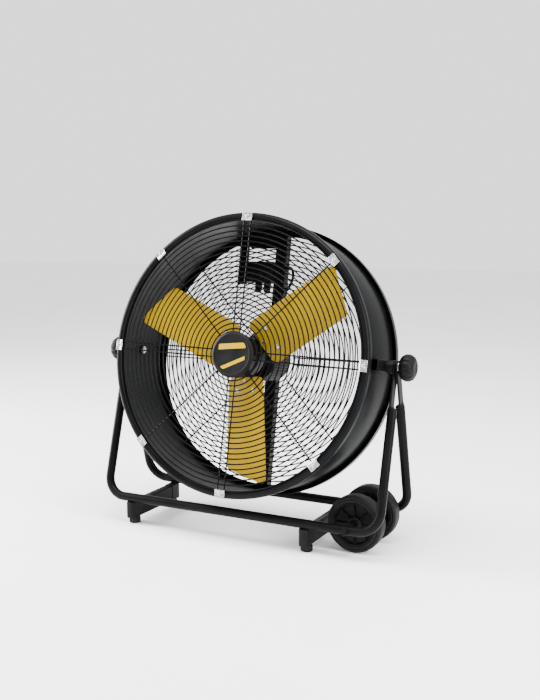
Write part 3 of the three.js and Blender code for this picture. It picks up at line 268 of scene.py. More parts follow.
def round_the_axis(points, angle):
    """From the drum's top to an angle round its axis: x' = z cos a + x sin a, z' = z sin a - x cos a."""
    x, y, z = np.moveaxis(np.asarray(points, float), -1, 0)
    return np.stack([z * np.cos(angle) + x * np.sin(angle), y, z * np.sin(angle) - x * np.cos(angle)], -1)


def along_x(points):
    """A piece made about Y, laid along X: (x, y, z) goes to (y, -x, z)."""
    x, y, z = np.moveaxis(np.asarray(points, float), -1, 0)
    return np.stack([y, -x, z], -1)


def along_z(points):
    """A piece made about Y, stood along Z: (x, y, z) goes to (x, -z, y)."""
    x, y, z = np.moveaxis(np.asarray(points, float), -1, 0)
    return np.stack([x, -z, y], -1)


def smoothstep(value, low, high):
    """0 below low, 1 above high and 3t^2 - 2t^3 between them."""
    t = np.clip((value - low) / (high - low), 0, 1)
    return t * t * (3 - 2 * t)


print("helpers: eased, turned, wire, pushed, circle, round_the_axis, along_x, along_z, smoothstep")

# %% [markdown]
# `add_piece` is the one place where a shape becomes an object. It welds the seam of a closed
# surface, shades it smooth up to a chosen angle, gives it a finish, hangs it under the empty of the
# body it rides on and hides the CAD nodes it stands for.

# %% Objects
finishes = {}
piece_count = 0


def add_piece(name, shape, body, finish, stands_for=(), bevel=0.0, sharp=40):
    """Points and faces go in as they are. Doubles closer than a thousandth of a millimetre merge."""
    global piece_count
    points, quads, ends = shape
    mesh = bpy.data.meshes.new(name)
    mesh.from_pydata(points.tolist(), [], quads.tolist() + [list(end) for end in ends])
    work = bmesh.new()
    work.from_mesh(mesh)
    bmesh.ops.remove_doubles(work, verts=work.verts, dist=1e-6)
    work.to_mesh(mesh)
    work.free()
    mesh.shade_smooth()
    mesh.set_sharp_from_angle(angle=math.radians(sharp))
    piece = bpy.data.objects.new(name, mesh)
    bpy.context.scene.collection.objects.link(piece)
    if bevel:
        edge = piece.modifiers.new("eased_edges", "BEVEL")
        edge.width = bevel
        edge.segments = 2
        edge.limit_method = "ANGLE"
        edge.angle_limit = math.radians(35)
        edge.harden_normals = False
    mesh.materials.append(finishes[finish])
    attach(piece, body)
    if stands_for:
        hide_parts(*stands_for)
    piece_count += 1
    return piece


def on_drum(name, shape, finish, stands_for=(), body="drum", bevel=0.0, sharp=40):
    """A shape drawn in the drum frame, taken to the row frame and added."""
    return add_piece(name, shifted(shape, from_drum), body, finish, stands_for, bevel, sharp)


print("helpers: add_piece, on_drum")

# %% [markdown]
# ## Finishes
# None of these surfaces is one flat colour. Powder coat has a fine orange peel, zinc plate has
# soft grey clouds, moulded plastic has a grain and rubber has dust in it. All of them are the same
# small recipe with different numbers: one broad noise that shifts the colour and the roughness, and
# one fine noise that raises the surface. Both read Object coordinates, so they are real sizes.


# %% The recipe for a finish
def make_finish(slot, dark, light, roughness, metallic=0.0, broad=14.0, fine=900.0, relief=0.05,
                stretch=(1, 1, 1), coat=0.0, detail=4.0, specular=0.5):
    """Colour and roughness follow a broad noise between two values. Height follows a fine noise."""
    material = bpy.data.materials.new(slot)
    material.use_nodes = True
    nodes, links = material.node_tree.nodes, material.node_tree.links
    shader = nodes["Principled BSDF"]
    shader.inputs["Metallic"].default_value = metallic
    shader.inputs["Specular IOR Level"].default_value = specular
    shader.inputs["Coat Weight"].default_value = coat
    shader.inputs["Coat Roughness"].default_value = 0.12
    place = nodes.new("ShaderNodeTexCoord")
    scale = nodes.new("ShaderNodeMapping")
    scale.inputs["Scale"].default_value = stretch
    links.new(place.outputs["Object"], scale.inputs["Vector"])

    clouds = nodes.new("ShaderNodeTexNoise")
    clouds.inputs["Scale"].default_value = broad
    clouds.inputs["Detail"].default_value = detail
    links.new(scale.outputs["Vector"], clouds.inputs["Vector"])
    colour = nodes.new("ShaderNodeValToRGB")
    colour.color_ramp.elements[0].position = 0.35
    colour.color_ramp.elements[0].color = (*dark, 1)
    colour.color_ramp.elements[1].position = 0.65
    colour.color_ramp.elements[1].color = (*light, 1)
    links.new(clouds.outputs["Fac"], colour.inputs["Fac"])
    links.new(colour.outputs["Color"], shader.inputs["Base Color"])
    gloss = nodes.new("ShaderNodeMapRange")
    gloss.inputs["From Min"].default_value = 0.3
    gloss.inputs["From Max"].default_value = 0.7
    gloss.inputs["To Min"].default_value = roughness[0]
    gloss.inputs["To Max"].default_value = roughness[1]
    links.new(clouds.outputs["Fac"], gloss.inputs["Value"])
    links.new(gloss.outputs["Result"], shader.inputs["Roughness"])

    grain = nodes.new("ShaderNodeTexNoise")
    grain.inputs["Scale"].default_value = fine
    grain.inputs["Detail"].default_value = 2.0
    links.new(scale.outputs["Vector"], grain.inputs["Vector"])
    bump = nodes.new("ShaderNodeBump")
    bump.inputs["Strength"].default_value = relief
    bump.inputs["Distance"].default_value = 0.0004
    links.new(grain.outputs["Fac"], bump.inputs["Height"])
    links.new(bump.outputs["Normal"], shader.inputs["Normal"])
    finishes[slot] = material
    return material


print("helper: make_finish")

# %% [markdown]
# Steel first. The drum, the stand and the guards share one satin black powder coat. The blades are
# a glossier yellow enamel, and clips, washers and bolts are bright zinc plate.

# %% Painted and plated steel
make_finish("black_steel", (0.0020, 0.0021, 0.0024), (0.0035, 0.0037, 0.0042), (0.30, 0.38),
            fine=700.0, relief=0.10, specular=0.05)
make_finish("yellow_steel", (0.31, 0.195, 0.0), (0.37, 0.235, 0.0003), (0.24, 0.32),
            broad=9.0, fine=420.0, relief=0.06, coat=0.04, specular=0.10)
make_finish("zinc_steel", (0.30, 0.31, 0.33), (0.58, 0.58, 0.58), (0.18, 0.36), metallic=1.0,
            broad=160.0, fine=2400.0, relief=0.08)
make_finish("bare_steel", (0.36, 0.36, 0.37), (0.50, 0.50, 0.50), (0.24, 0.40), metallic=1.0,
            broad=60.0, fine=1800.0, relief=0.12, stretch=(1, 8, 1))
make_finish("motor_black", (0.003, 0.0032, 0.0036), (0.006, 0.0063, 0.007), (0.36, 0.48),
            broad=30.0, fine=520.0, relief=0.22, specular=0.10)
print("steel finishes:", sorted(finishes))

# %% [markdown]
# Plastic and rubber scatter light more evenly than paint. The plastic is spark-eroded in its mould,
# which leaves an even fine grain. The rubber is duller, and paler where dust sits on it.

# %% Plastic and rubber
make_finish("black_plastic", (0.0020, 0.0020, 0.0022), (0.0040, 0.0040, 0.0043), (0.40, 0.52),
            broad=40.0, fine=2200.0, relief=0.22, specular=0.08)
make_finish("capacitor_plastic", (0.50, 0.50, 0.48), (0.60, 0.60, 0.58), (0.25, 0.35), fine=1400.0)
make_finish("cable_rubber", (0.0035, 0.0035, 0.0035), (0.0065, 0.0065, 0.0065), (0.50, 0.62),
            broad=50.0, fine=1300.0, relief=0.15, specular=0.12)
make_finish("foot_rubber", (0.006, 0.006, 0.006), (0.013, 0.013, 0.0125), (0.66, 0.82),
            broad=55.0, fine=1500.0, relief=0.30, specular=0.12)
make_finish("tyre", (0.0025, 0.0025, 0.0025), (0.0055, 0.0055, 0.0055), (0.50, 0.70),
            broad=35.0, fine=1200.0, relief=0.28, specular=0.12)
print("all finishes:", len(finishes))

# %% [markdown]
# ## Sizes of the drum
# The drum's sizes come from the CAD nodes. The rest of its sections are drawn from its rim.

# %% Measure the drum
shell_low, shell_high = drum_box("drum_shell")
RIM = shell_high[0] - 0.3 * MM
SHELL = shell_high[0] - 13 * MM
SHEET = 2 * MM
FRONT = shell_low[1]
REAR = shell_high[1]
ROLL_RADIUS = 10 * MM
REAR_OPENING = SHELL - 12 * MM
print("rim radius", round(RIM, 4), "front", round(FRONT, 4), "rear", round(REAR, 4))

# %% [markdown]
# ## The drum
# The drum is a band of sheet steel. Its front edge is rolled outwards over a wire into a fat bead,
# which catches a long line of light. Its rear edge is folded out and forwards,
# and a flange inside it holds the rear guard. One profile turned about the axis gives all of this.


# %% Drum shell
def rolled(radius):
    """Half circle of the front bead, from its outer side over the crown to its inner side."""
    arc = circle(radius, 17, 0, np.pi)
    return np.stack([RIM - ROLL_RADIUS + arc[:, 0], FRONT + ROLL_RADIUS - arc[:, 1]], -1)


bead_back = FRONT + 2 * ROLL_RADIUS
inner_face = [(SHELL - 2 * MM, bead_back - 5 * MM), (SHELL, bead_back + 3 * MM), (SHELL, REAR - SHEET),
              (REAR_OPENING, REAR - SHEET), (REAR_OPENING, REAR)]
rear_fold = [(RIM - 7 * MM, REAR), (RIM - 1.5 * MM, REAR - 1.7 * MM), (RIM, REAR - 5 * MM),
             (RIM, REAR - 20 * MM), (RIM - SHEET, REAR - 20 * MM), (RIM - SHEET, REAR - 6 * MM),
             (RIM - 7.5 * MM, REAR - SHEET), (SHELL + SHEET, REAR - SHEET)]
outer_face = [(SHELL + SHEET, bead_back + 1 * MM)]
shell_profile = np.concatenate([
    [(RIM, bead_back - 2 * MM)], rolled(ROLL_RADIUS), inner_face, rear_fold, outer_face,
    rolled(ROLL_RADIUS - SHEET)[::-1], [(RIM - SHEET, bead_back - 2 * MM)]])
on_drum("drum_band", turned(shell_profile, 160), "black_steel", ["drum_shell"], sharp=50)
print("drum band:", len(shell_profile), "profile points")

# %% [markdown]
# ## The guards
# Each guard is a set of wire rings 12 mm apart, welded to spokes that lie just inside them. The
# CAD grille has only a few of the rings. Here is the full set, with thin round wire.

# %% Guard wires
WIRE = 1.75 * MM
RING_PITCH = 12.2 * MM
FIRST_RING = 61.3 * MM
HUB_RING = 46 * MM
PAIR_SPACING = 18 * MM
guard_front = FRONT
guard_rear = REAR + 0.3 * MM + WIRE
front_radii = [HUB_RING, *np.arange(FIRST_RING, SHELL - 18 * MM, RING_PITCH), SHELL - 5 * MM]
rear_radii = list(np.arange(FIRST_RING, SHELL + 8 * MM, RING_PITCH))


def guard_rings(radii, y):
    """Each ring is a wire on the circle (r cos t, y, r sin t)."""
    rings = []
    for radius in radii:
        flat = circle(radius, 144 if radius > 150 * MM else 96)
        path = np.stack([flat[:, 0], np.full(len(flat), y), flat[:, 1]], -1)
        rings.append(wire(path, WIRE, 6, True))
    return together(rings)


def guard_spokes(lines, y):
    """Each spoke is a straight wire at an angle, with an offset to one side, between two radii."""
    spokes = []
    for angle, offset, inner, outer in lines:
        path = np.array([[offset, y, inner], [offset, y, outer]])
        spokes.append(wire(round_the_axis(path, math.radians(angle)), WIRE, 8))
    return together(spokes)


FRONT_TURN = -1.0
front_lines = [(angle + FRONT_TURN, 0, HUB_RING, SHELL - 5 * MM) for angle in (45, 135, 225, 315)]
front_lines += [(angle + FRONT_TURN, side * PAIR_SPACING / 2, HUB_RING, SHELL - 5 * MM)
                for angle in (0, 90, 180, 270) for side in (-1, 1)]
rear_lines = [(angle, 0, FIRST_RING, rear_radii[-1]) for angle in range(45, 360, 45) if angle != 180]
rear_lines += [(angle, side * PAIR_SPACING / 2, FIRST_RING, rear_radii[-1])
               for angle in (0, 180) for side in (-1, 1)]
on_drum("front_guard_rings", guard_rings(front_radii, guard_front), "black_steel", ["front_guard"])
on_drum("front_guard_spokes", guard_spokes(front_lines, guard_front + 1.6 * WIRE), "black_steel")
on_drum("rear_guard_rings", guard_rings(rear_radii, guard_rear), "black_steel", ["rear_guard"])
on_drum("rear_guard_spokes", guard_spokes(rear_lines, guard_rear - 1.6 * WIRE), "black_steel")
print("front rings", len(front_radii), "rear rings", len(rear_radii))

# %% [markdown]
# ## What grips the guards
# Eight zinc clips hold the front guard. Each is a strip of sheet that rises over the last ring and
# lies flat on the bead, under one pan-head screw. The strip's height is a bell curve over the
# wire. The rear clips step up from the flange instead, and their step is a smoothstep.

# %% Clips and their screws
CLIP_WIDTH = 26 * MM
CLIP_SHEET = 1.5 * MM
CLIP_REACH = SHELL + 10 * MM
CLIP_SCREW_CIRCLE = SHELL + 2.5 * MM
REAR_SCREW_CIRCLE = SHELL - 5 * MM
FRONT_CLIP_ANGLES = [angle + FRONT_TURN for angle in range(0, 360, 45)]
REAR_CLIP_ANGLES = [0, 45, 135, 180, 225, 315]


def strip(radii, heights, thickness):
    """A strip along the radius: its skin is the height curve and the same curve moved outwards."""
    outline = np.concatenate([np.stack([radii, heights], -1),
                              np.stack([radii, heights + thickness], -1)[::-1]])
    return pushed(outline, -CLIP_WIDTH / 2, CLIP_WIDTH / 2, order=(2, 1, 0))


def pan_head(radius, height, shank=0.0):
    """A dome r cos a, h sin a on a short shank, drawn about Y with its top towards -Y."""
    a = np.linspace(0, np.pi / 2, 7)
    dome = np.stack([radius * np.cos(a) ** 0.8, -height * (0.35 + 0.65 * np.sin(a))], -1)
    dome[-1, 0] = 0
    start = [(0, shank), (radius / 2, shank), (radius / 2, 0), (radius, 0)]
    return turned(np.concatenate([start, dome]), 24, False)


def at_angles(shape, angles, y=0.0, radius=0.0):
    """Copies of a shape at several angles round the drum, each first moved to y and out to radius."""
    place = np.array([0, y, radius])
    return together([shifted(shape, lambda p, a=a: round_the_axis(p + place, math.radians(a)))
                     for a in angles])


clip_radii = np.linspace(SHELL - 7.5 * MM, CLIP_REACH, 28)
over_ring = np.exp(-((clip_radii - front_radii[-1]) / (2.6 * MM)) ** 2)
clip_heights = FRONT - 0.35 * MM - 1.7 * MM * over_ring
front_clip = strip(clip_radii, clip_heights, -CLIP_SHEET)
on_drum("front_clips", at_angles(front_clip, FRONT_CLIP_ANGLES), "zinc_steel", bevel=0.4 * MM)
on_drum("front_clip_screws", at_angles(pan_head(4.4 * MM, 2.2 * MM, 6 * MM), FRONT_CLIP_ANGLES,
                                       FRONT - 0.35 * MM - CLIP_SHEET, CLIP_SCREW_CIRCLE), "zinc_steel")

rear_clip_radii = np.linspace(REAR_OPENING + 2 * MM, RIM - 2 * MM, 20)
rear_heights = REAR + 0.4 * MM + 3.4 * MM * smoothstep(rear_clip_radii, SHELL + 0.5 * MM, SHELL + 3 * MM)
rear_clip = strip(rear_clip_radii, rear_heights, 1.2 * MM)
on_drum("rear_clips", at_angles(rear_clip, REAR_CLIP_ANGLES), "zinc_steel", bevel=0.3 * MM)
rear_screw = shifted(pan_head(4.4 * MM, 2.2 * MM, 6 * MM), lambda p: p * [1, -1, 1])
on_drum("rear_clip_screws", at_angles(rear_screw, REAR_CLIP_ANGLES, REAR + 1.6 * MM, REAR_SCREW_CIRCLE),
        "zinc_steel")
print("clips:", len(FRONT_CLIP_ANGLES), "in front,", len(REAR_CLIP_ANGLES), "behind")

# %% [markdown]
# ## The centre cap
# Two moulded halves clamp the hub ring of the guard. The front one is a shallow dish with a
# recessed round field. Two plain bands of the blades' yellow lie on the field. Each band is the
# part of a disc between two slanting lines.

# %% Cap
cap_low, cap_high = drum_box("cap_front")
CAP_RADIUS = cap_high[0]
CAP_FRONT, CAP_SEAT = cap_low[1], cap_high[1]
FIELD_RADIUS = 46 * MM
FIELD_DEPTH = 0.8 * MM
CAP_WALL = 2 * MM
CAP_BOSS = 8 * MM
CAP_SCREW_HOLE = 2.3 * MM
field = CAP_FRONT + FIELD_DEPTH
dish_face = [(0, field), (FIELD_RADIUS, field), (FIELD_RADIUS + FIELD_DEPTH, CAP_FRONT),
             (CAP_RADIUS - 6 * MM, CAP_FRONT + 0.2 * MM), (CAP_RADIUS - 2 * MM, CAP_FRONT + 2.2 * MM),
             (CAP_RADIUS, CAP_FRONT + 5 * MM), (CAP_RADIUS, CAP_SEAT)]
dish_inside = [(CAP_RADIUS - CAP_WALL, CAP_SEAT), (CAP_RADIUS - CAP_WALL, CAP_FRONT + 5 * MM),
               (CAP_BOSS, CAP_FRONT + 3 * MM), (CAP_BOSS, CAP_SEAT), (CAP_SCREW_HOLE, CAP_SEAT),
               (CAP_SCREW_HOLE, CAP_SEAT - 4 * MM), (0, CAP_SEAT - 4 * MM)]
dish = dish_face + dish_inside
on_drum("cap_dish", turned(eased(dish, 0.7 * MM, 3, False), 96, False), "black_plastic", ["cap_front"])

cup_low, cup_high = drum_box("cap_back")
CUP_RADIUS = cup_high[0]
cup_floor = cup_low[1] + CAP_WALL
cup = [(CAP_SCREW_HOLE, cup_low[1]), (CUP_RADIUS, cup_low[1]), (CUP_RADIUS, cup_high[1]),
       (CUP_RADIUS - CAP_WALL, cup_high[1]), (CUP_RADIUS - CAP_WALL, cup_floor), (CAP_SCREW_HOLE, cup_floor)]
on_drum("cap_cup", turned(eased(cup, 0.6 * MM), 96), "black_plastic", ["cap_back"])


def band(low, high, slope, radius):
    """The part of a disc between the slanting lines z = low + slope x and z = high + slope x."""
    x = np.linspace(-0.86 * radius, 0.86 * radius, 25)
    reach = np.sqrt(radius ** 2 - x ** 2)
    top = np.minimum(high + slope * x, reach)
    bottom = np.maximum(low + slope * x, -reach)
    kept = top > bottom + 0.3 * MM
    return np.concatenate([np.stack([x, top], -1)[kept], np.stack([x, bottom], -1)[kept][::-1]])


BAND_REACH = 41 * MM
bands = [band(13 * MM, 26 * MM, 0.10, BAND_REACH), band(-27 * MM, -18 * MM, 0.45, BAND_REACH)]
on_drum("cap_bands", together([pushed(b, field - 0.5 * MM, field + 0.3 * MM, (0, 2, 1)) for b in bands]),
        "yellow_steel", bevel=0.15 * MM)
print("cap radius", round(CAP_RADIUS, 4))

# %% [markdown]
# ## The motor
# The motor sits behind the blades, bolted to the beam. Its housing has shallow cooling fins along
# it, which are a ripple of the radius round the axis, and smooth cast end shields.

# %% Motor housing
front_shield_low, front_shield_high = drum_box("motor_front_shield")
rear_shield_low, rear_shield_high = drum_box("motor_rear_shield")
MOTOR_RADIUS = front_shield_high[0]
MOTOR_FRONT, MOTOR_REAR = front_shield_low[1], rear_shield_high[1]
stator_front, stator_rear = front_shield_high[1] + 0.3 * MM, rear_shield_low[1] - 0.3 * MM
FINS = 44
SHAFT_RADIUS = 9 * MM
STATOR_BORE = 31 * MM
BEARING_SEAT = 20.3 * MM


def fins(t, radius):
    """Radius times 1 - d (0.5 - 0.5 cos nt)^2, which leaves narrow crests and wide grooves."""
    return 1 - 0.035 * (0.5 - 0.5 * np.cos(FINS * t)) ** 2 * (radius > 45 * MM)


stator = [(STATOR_BORE, stator_front), (MOTOR_RADIUS, stator_front), (MOTOR_RADIUS, stator_rear),
          (STATOR_BORE, stator_rear)]
on_drum("motor_housing", turned(eased(stator, 1.2 * MM), FINS * 8, swell=fins), "motor_black",
        ["motor_stator"])
shield = [(SHAFT_RADIUS + 1 * MM, MOTOR_FRONT), (MOTOR_RADIUS - 22 * MM, MOTOR_FRONT),
          (MOTOR_RADIUS - 18 * MM, MOTOR_FRONT + 2.5 * MM), (MOTOR_RADIUS - 7 * MM, MOTOR_FRONT + 3 * MM),
          (MOTOR_RADIUS, MOTOR_FRONT + 6 * MM), (MOTOR_RADIUS, stator_front - 0.3 * MM),
          (BEARING_SEAT, stator_front - 0.3 * MM), (BEARING_SEAT, MOTOR_FRONT + 1.5 * MM),
          (SHAFT_RADIUS + 1 * MM, MOTOR_FRONT + 1.5 * MM)]
on_drum("motor_front_cover", turned(eased(shield, 1.0 * MM), 96), "motor_black", ["motor_front_shield"])
shield = [(0, MOTOR_REAR), (MOTOR_RADIUS - 6 * MM, MOTOR_REAR), (MOTOR_RADIUS, MOTOR_REAR - 5 * MM),
          (MOTOR_RADIUS, rear_shield_low[1]), (BEARING_SEAT, rear_shield_low[1]),
          (BEARING_SEAT, rear_shield_low[1] + 10.6 * MM), (0, rear_shield_low[1] + 10.6 * MM)]
on_drum("motor_rear_cover", turned(eased(shield, 1.0 * MM, 3, False), 96, False), "motor_black",
        ["motor_rear_shield"])
print("motor radius", round(MOTOR_RADIUS, 4), "from", round(MOTOR_FRONT, 4), "to", round(MOTOR_REAR, 4))

# %% [markdown]
# ## The beam, the strap and their bolts
# A folded steel channel crosses the rear of the drum and carries the motor. A shorter channel
# beside it carries the control box. Both are outlines pushed along the drum's upright, with a
# bevel for the folded edges.

# %% Beam and strap
BEAM_FRONT = guard_rear + WIRE + 0.3 * MM
BEAM_WALL = 2.5 * MM
BEAM_WIDTH, BEAM_DEPTH = 30 * MM, 25 * MM
BEAM_HALF_LENGTH = SHELL + 7 * MM
strap_low, strap_high = drum_box("box_strap")
STRAP_WIDTH, STRAP_DEPTH = 22 * MM, 14 * MM
STRAP_X = strap_low[0] + STRAP_WIDTH / 2
STRAP_BOTTOM, STRAP_TOP = strap_low[2], SHELL - 17 * MM
BOLT_CIRCLE = SHELL - 6.5 * MM
BOLT_SPACING = 16 * MM


def channel(x, width, depth):
    """Outline (x, y) of a three-sided fold that is open to the rear."""
    half, front, rear = width / 2, BEAM_FRONT, BEAM_FRONT + depth
    return [(x - half, front), (x + half, front), (x + half, rear), (x + half - BEAM_WALL, rear),
            (x + half - BEAM_WALL, front + BEAM_WALL), (x - half + BEAM_WALL, front + BEAM_WALL),
            (x - half + BEAM_WALL, rear), (x - half, rear)]


on_drum("motor_channel", pushed(channel(0, BEAM_WIDTH, BEAM_DEPTH), -BEAM_HALF_LENGTH, BEAM_HALF_LENGTH),
        "black_steel", ["motor_beam"], bevel=0.9 * MM)
on_drum("box_channel", pushed(channel(STRAP_X, STRAP_WIDTH, STRAP_DEPTH), STRAP_BOTTOM, STRAP_TOP),
        "black_steel", ["box_strap"], bevel=0.8 * MM)
tie_start, tie_end = STRAP_X + STRAP_WIDTH / 2 - BEAM_WALL, -BEAM_WIDTH / 2 - 0.3 * MM
tie_bottom = STRAP_TOP - 25 * MM
tie = [(tie_start, STRAP_TOP), (tie_start, tie_bottom + 8 * MM), (tie_start + 16 * MM, tie_bottom),
       (tie_end, tie_bottom), (tie_end, strap_high[2])]
on_drum("tie_plate", pushed(tie, BEAM_FRONT, BEAM_FRONT + BEAM_WALL, (0, 2, 1)), "black_steel",
        bevel=0.5 * MM)

bolt_z = math.sqrt(BOLT_CIRCLE ** 2 - (BOLT_SPACING / 2) ** 2)
bolt_spots = [(side * BOLT_SPACING / 2, 0, end * bolt_z) for side in (-1, 1) for end in (-1, 1)]
bolt_spots.append((STRAP_X, 0, math.sqrt(BOLT_CIRCLE ** 2 - STRAP_X ** 2)))


def hexagon(t, radius):
    """Radius times cos 30 / cos(t folded into one sixth), which turns a circle into a hexagon."""
    sixth = np.pi / 3
    return np.cos(sixth / 2) / np.cos((t + sixth / 2) % sixth - sixth / 2) + 0 * radius


def hex_head(radius, start, end, bore=0.0):
    """A nut or bolt head about Y with chamfered rims. With a bore it is a closed ring."""
    rim = 0.9 * radius
    edge = 0.12 * radius * np.sign(end - start)
    profile = [(bore, start), (rim, start), (radius, start + edge), (radius, end - edge), (rim, end),
               (bore, end)]
    return turned(profile, 48, bore > 0, lambda t, r: np.where(r > 0.8 * radius, hexagon(t, r), 1))


web_back = BEAM_FRONT + BEAM_WALL
BOLT_HEAD, BOLT_BORE = 5.5 * MM, 3.2 * MM
MOTOR_BOLT_HEIGHT = 35 * MM
heads = hex_head(BOLT_HEAD, web_back, web_back + 4.5 * MM)
spacer = turned(eased([(BOLT_BORE, REAR + 0.3 * MM), (BOLT_HEAD, REAR + 0.3 * MM), (BOLT_HEAD, BEAM_FRONT),
                       (BOLT_BORE, BEAM_FRONT)], 0.3 * MM), 32)
nut = hex_head(BOLT_HEAD, REAR - SHEET - 4.3 * MM, REAR - SHEET - 0.3 * MM)
on_drum("beam_bolts", copies(together([heads, spacer, nut]), bolt_spots), "black_steel", sharp=25)
motor_bolt = hex_head(7 * MM, web_back, web_back + 3.8 * MM)
on_drum("motor_bolts", copies(motor_bolt, [(0, 0, -MOTOR_BOLT_HEIGHT), (0, 0, MOTOR_BOLT_HEIGHT)]),
        "black_steel", sharp=25)
print("beam bolts:", len(bolt_spots))

# %% [markdown]
# ## The control box
# The box is a moulded tray. Its skin is a stack of rounded rectangles: out round the front edge,
# back to the mouth, in by the wall's thickness and forwards again to the inner floor.


# %% Box, lid and screws
def rounded_loops(x_range, z_range, levels, radius):
    """One rounded rectangle per level. A level is (inset, y), and the inset shrinks all its sides."""
    loops = []
    for inset, y in levels:
        x0, x1 = x_range[0] + inset, x_range[1] - inset
        z0, z1 = z_range[0] + inset, z_range[1] - inset
        flat = eased([(x0, z0), (x1, z0), (x1, z1), (x0, z1)], max(radius - inset, 0.5 * MM), 6)
        loops.append(np.stack([flat[:, 0], np.full(len(flat), y), flat[:, 1]], -1))
    return carried(loops)


box_low, box_high = drum_box("control_box")
lid_low, lid_high = drum_box("control_box_lid")
box_x, box_z = (box_low[0], box_high[0]), (box_low[2], box_high[2])
box_front, box_back = box_low[1], box_high[1]
BOX_WALL = 2.5 * MM
BOX_CORNER = 5 * MM
LID_SCREW_INSET = 6 * MM
tray = [(1.2 * MM, box_front), (0.35 * MM, box_front + 0.35 * MM), (0, box_front + 1.2 * MM), (0, box_back),
        (BOX_WALL, box_back), (BOX_WALL, box_front + BOX_WALL)]
on_drum("control_box_tray", rounded_loops(box_x, box_z, tray, BOX_CORNER), "black_plastic", ["control_box"])
lid = [(0, lid_low[1]), (0, lid_high[1] - 1 * MM), (0.3 * MM, lid_high[1] - 0.3 * MM), (1 * MM, lid_high[1])]
on_drum("control_box_cover", rounded_loops(box_x, box_z, lid, BOX_CORNER), "black_plastic",
        ["control_box_lid"])
screw = shifted(pan_head(3 * MM, 1.6 * MM), lambda p: p * [1, -1, 1])
corners = [(x, lid_high[1], z) for x in (box_x[0] + LID_SCREW_INSET, box_x[1] - LID_SCREW_INSET)
           for z in (box_z[0] + LID_SCREW_INSET, box_z[1] - LID_SCREW_INSET)]
on_drum("lid_screws", copies(screw, corners), "zinc_steel")
print("control box", round(box_x[1] - box_x[0], 4), "wide")

# %% [markdown]
# ## Glands, switch and lead
# Two cable glands hang under the box. Each has a six-sided body and a ribbed clamping nut. The
# mains lead isn't seen in the photograph, so its gland is left empty. The motor's own lead
# leaves the housing, passes between two guard rings and curls round the beam into the box.

# %% Glands and switch knob
GLAND_BORE = 4.3 * MM
gland_low, gland_high = drum_box("left_cable_gland")
GLAND_BOTTOM = gland_low[2]
GLAND_Y = (gland_low[1] + gland_high[1]) / 2
BOX_BOTTOM = box_z[0]


def gland_shape():
    """A hexagonal ring above a ribbed ring that narrows to its mouth, both round the same bore."""
    top = BOX_BOTTOM - 0.3 * MM
    body = hex_head(9.9 * MM, top - 8 * MM, top, GLAND_BORE)
    outside = [(6.4 * MM, GLAND_BOTTOM), (8.6 * MM, GLAND_BOTTOM + 5 * MM), (9.2 * MM, GLAND_BOTTOM + 9 * MM),
               (9.2 * MM, top - 8.2 * MM)]
    profile = eased([(GLAND_BORE, GLAND_BOTTOM), *outside, (GLAND_BORE, top - 8.2 * MM)], 0.8 * MM)
    ribs = turned(profile, 144, swell=lambda t, r: 1 - 0.05 * (0.5 + 0.5 * np.cos(18 * t)) * (r > 7 * MM))
    return shifted(together([body, ribs]), along_z)


for side in ("left", "right"):
    low, high = drum_box(f"{side}_cable_gland")
    middle = (low[0] + high[0]) / 2
    on_drum(f"{side}_gland", moved(gland_shape(), [middle, GLAND_Y, 0]), "black_plastic",
            [f"{side}_cable_gland"], sharp=30)

dial_low, dial_high = drum_box("switch_knob")
switch_x, switch_z = (dial_low[0] + dial_high[0]) / 2, (dial_low[2] + dial_high[2]) / 2
switch_seat, switch_back = lid_high[1] + 0.3 * MM, dial_high[1]
STEM_RADIUS, STEM_LENGTH = 3 * MM, 10 * MM
SKIRT_RADIUS = 14.6 * MM
POINTER_HALF = 2 * MM
stem = [(0, switch_seat - STEM_LENGTH), (STEM_RADIUS, switch_seat - STEM_LENGTH), (STEM_RADIUS, switch_seat)]
skirt = [(SKIRT_RADIUS, switch_seat), (SKIRT_RADIUS, switch_seat + 3 * MM),
         (SKIRT_RADIUS - 2 * MM, switch_seat + 4.5 * MM), (12 * MM, switch_back - 1 * MM),
         (0, switch_back - 1 * MM)]
dial = turned(eased(stem + skirt, 0.8 * MM, 3, False), 64, False)
pointer = pushed([(-POINTER_HALF, -12 * MM), (POINTER_HALF, -12 * MM), (POINTER_HALF, 11.5 * MM),
                  (0, 12.8 * MM), (-POINTER_HALF, 11.5 * MM)], switch_back - 8 * MM, switch_back, (0, 2, 1))
on_drum("switch_dial", moved(together([dial, pointer]), [switch_x, 0, switch_z]), "black_plastic",
        ["switch_knob"], body="switch_knob")
print("switch at", round(switch_x, 4), round(switch_z, 4))

# %% The motor's lead
LEAD_RADIUS = 3.5 * MM
LEAD_Y = BEAM_FRONT + 13.5 * MM
LEAD_Z = box_z[1] - 13 * MM
LEAD_POINTS = np.array([
    [0, 58, 60], [0, 58, 68], [3, 60, 88], [12, 66, 122], [21, 76, 154], [24, 87, 171], [24, 97, 175.6],
    [24, 104, 176.6], [25, 112, 184], [29, 118, 200], [32, 119, 216], [29, 118, 231], [23, 117.5, 237],
]) * MM
lead_end = np.array([[17 * MM, LEAD_Y, LEAD_Z], [9 * MM, LEAD_Y, LEAD_Z], [-15.3 * MM, LEAD_Y, LEAD_Z],
                     [-21.8 * MM, LEAD_Y, LEAD_Z]])


def through(points, steps):
    """Catmull-Rom: between b and c the point is a cubic whose slopes are (c - a)/2 and (d - b)/2."""
    points = np.concatenate([2 * points[:1] - points[1:2], points, 2 * points[-1:] - points[-2:-1]])
    a, b, c, d = (points[k:len(points) - 3 + k, None] for k in range(4))
    t = np.linspace(0, 1, steps, endpoint=False)[None, :, None]
    made = 0.5 * (2 * b + (c - a) * t + (2 * a - 5 * b + 4 * c - d) * t ** 2
                  + (3 * b - a - 3 * c + d) * t ** 3)
    return np.concatenate([made.reshape(-1, 3), points[-2:-1]])


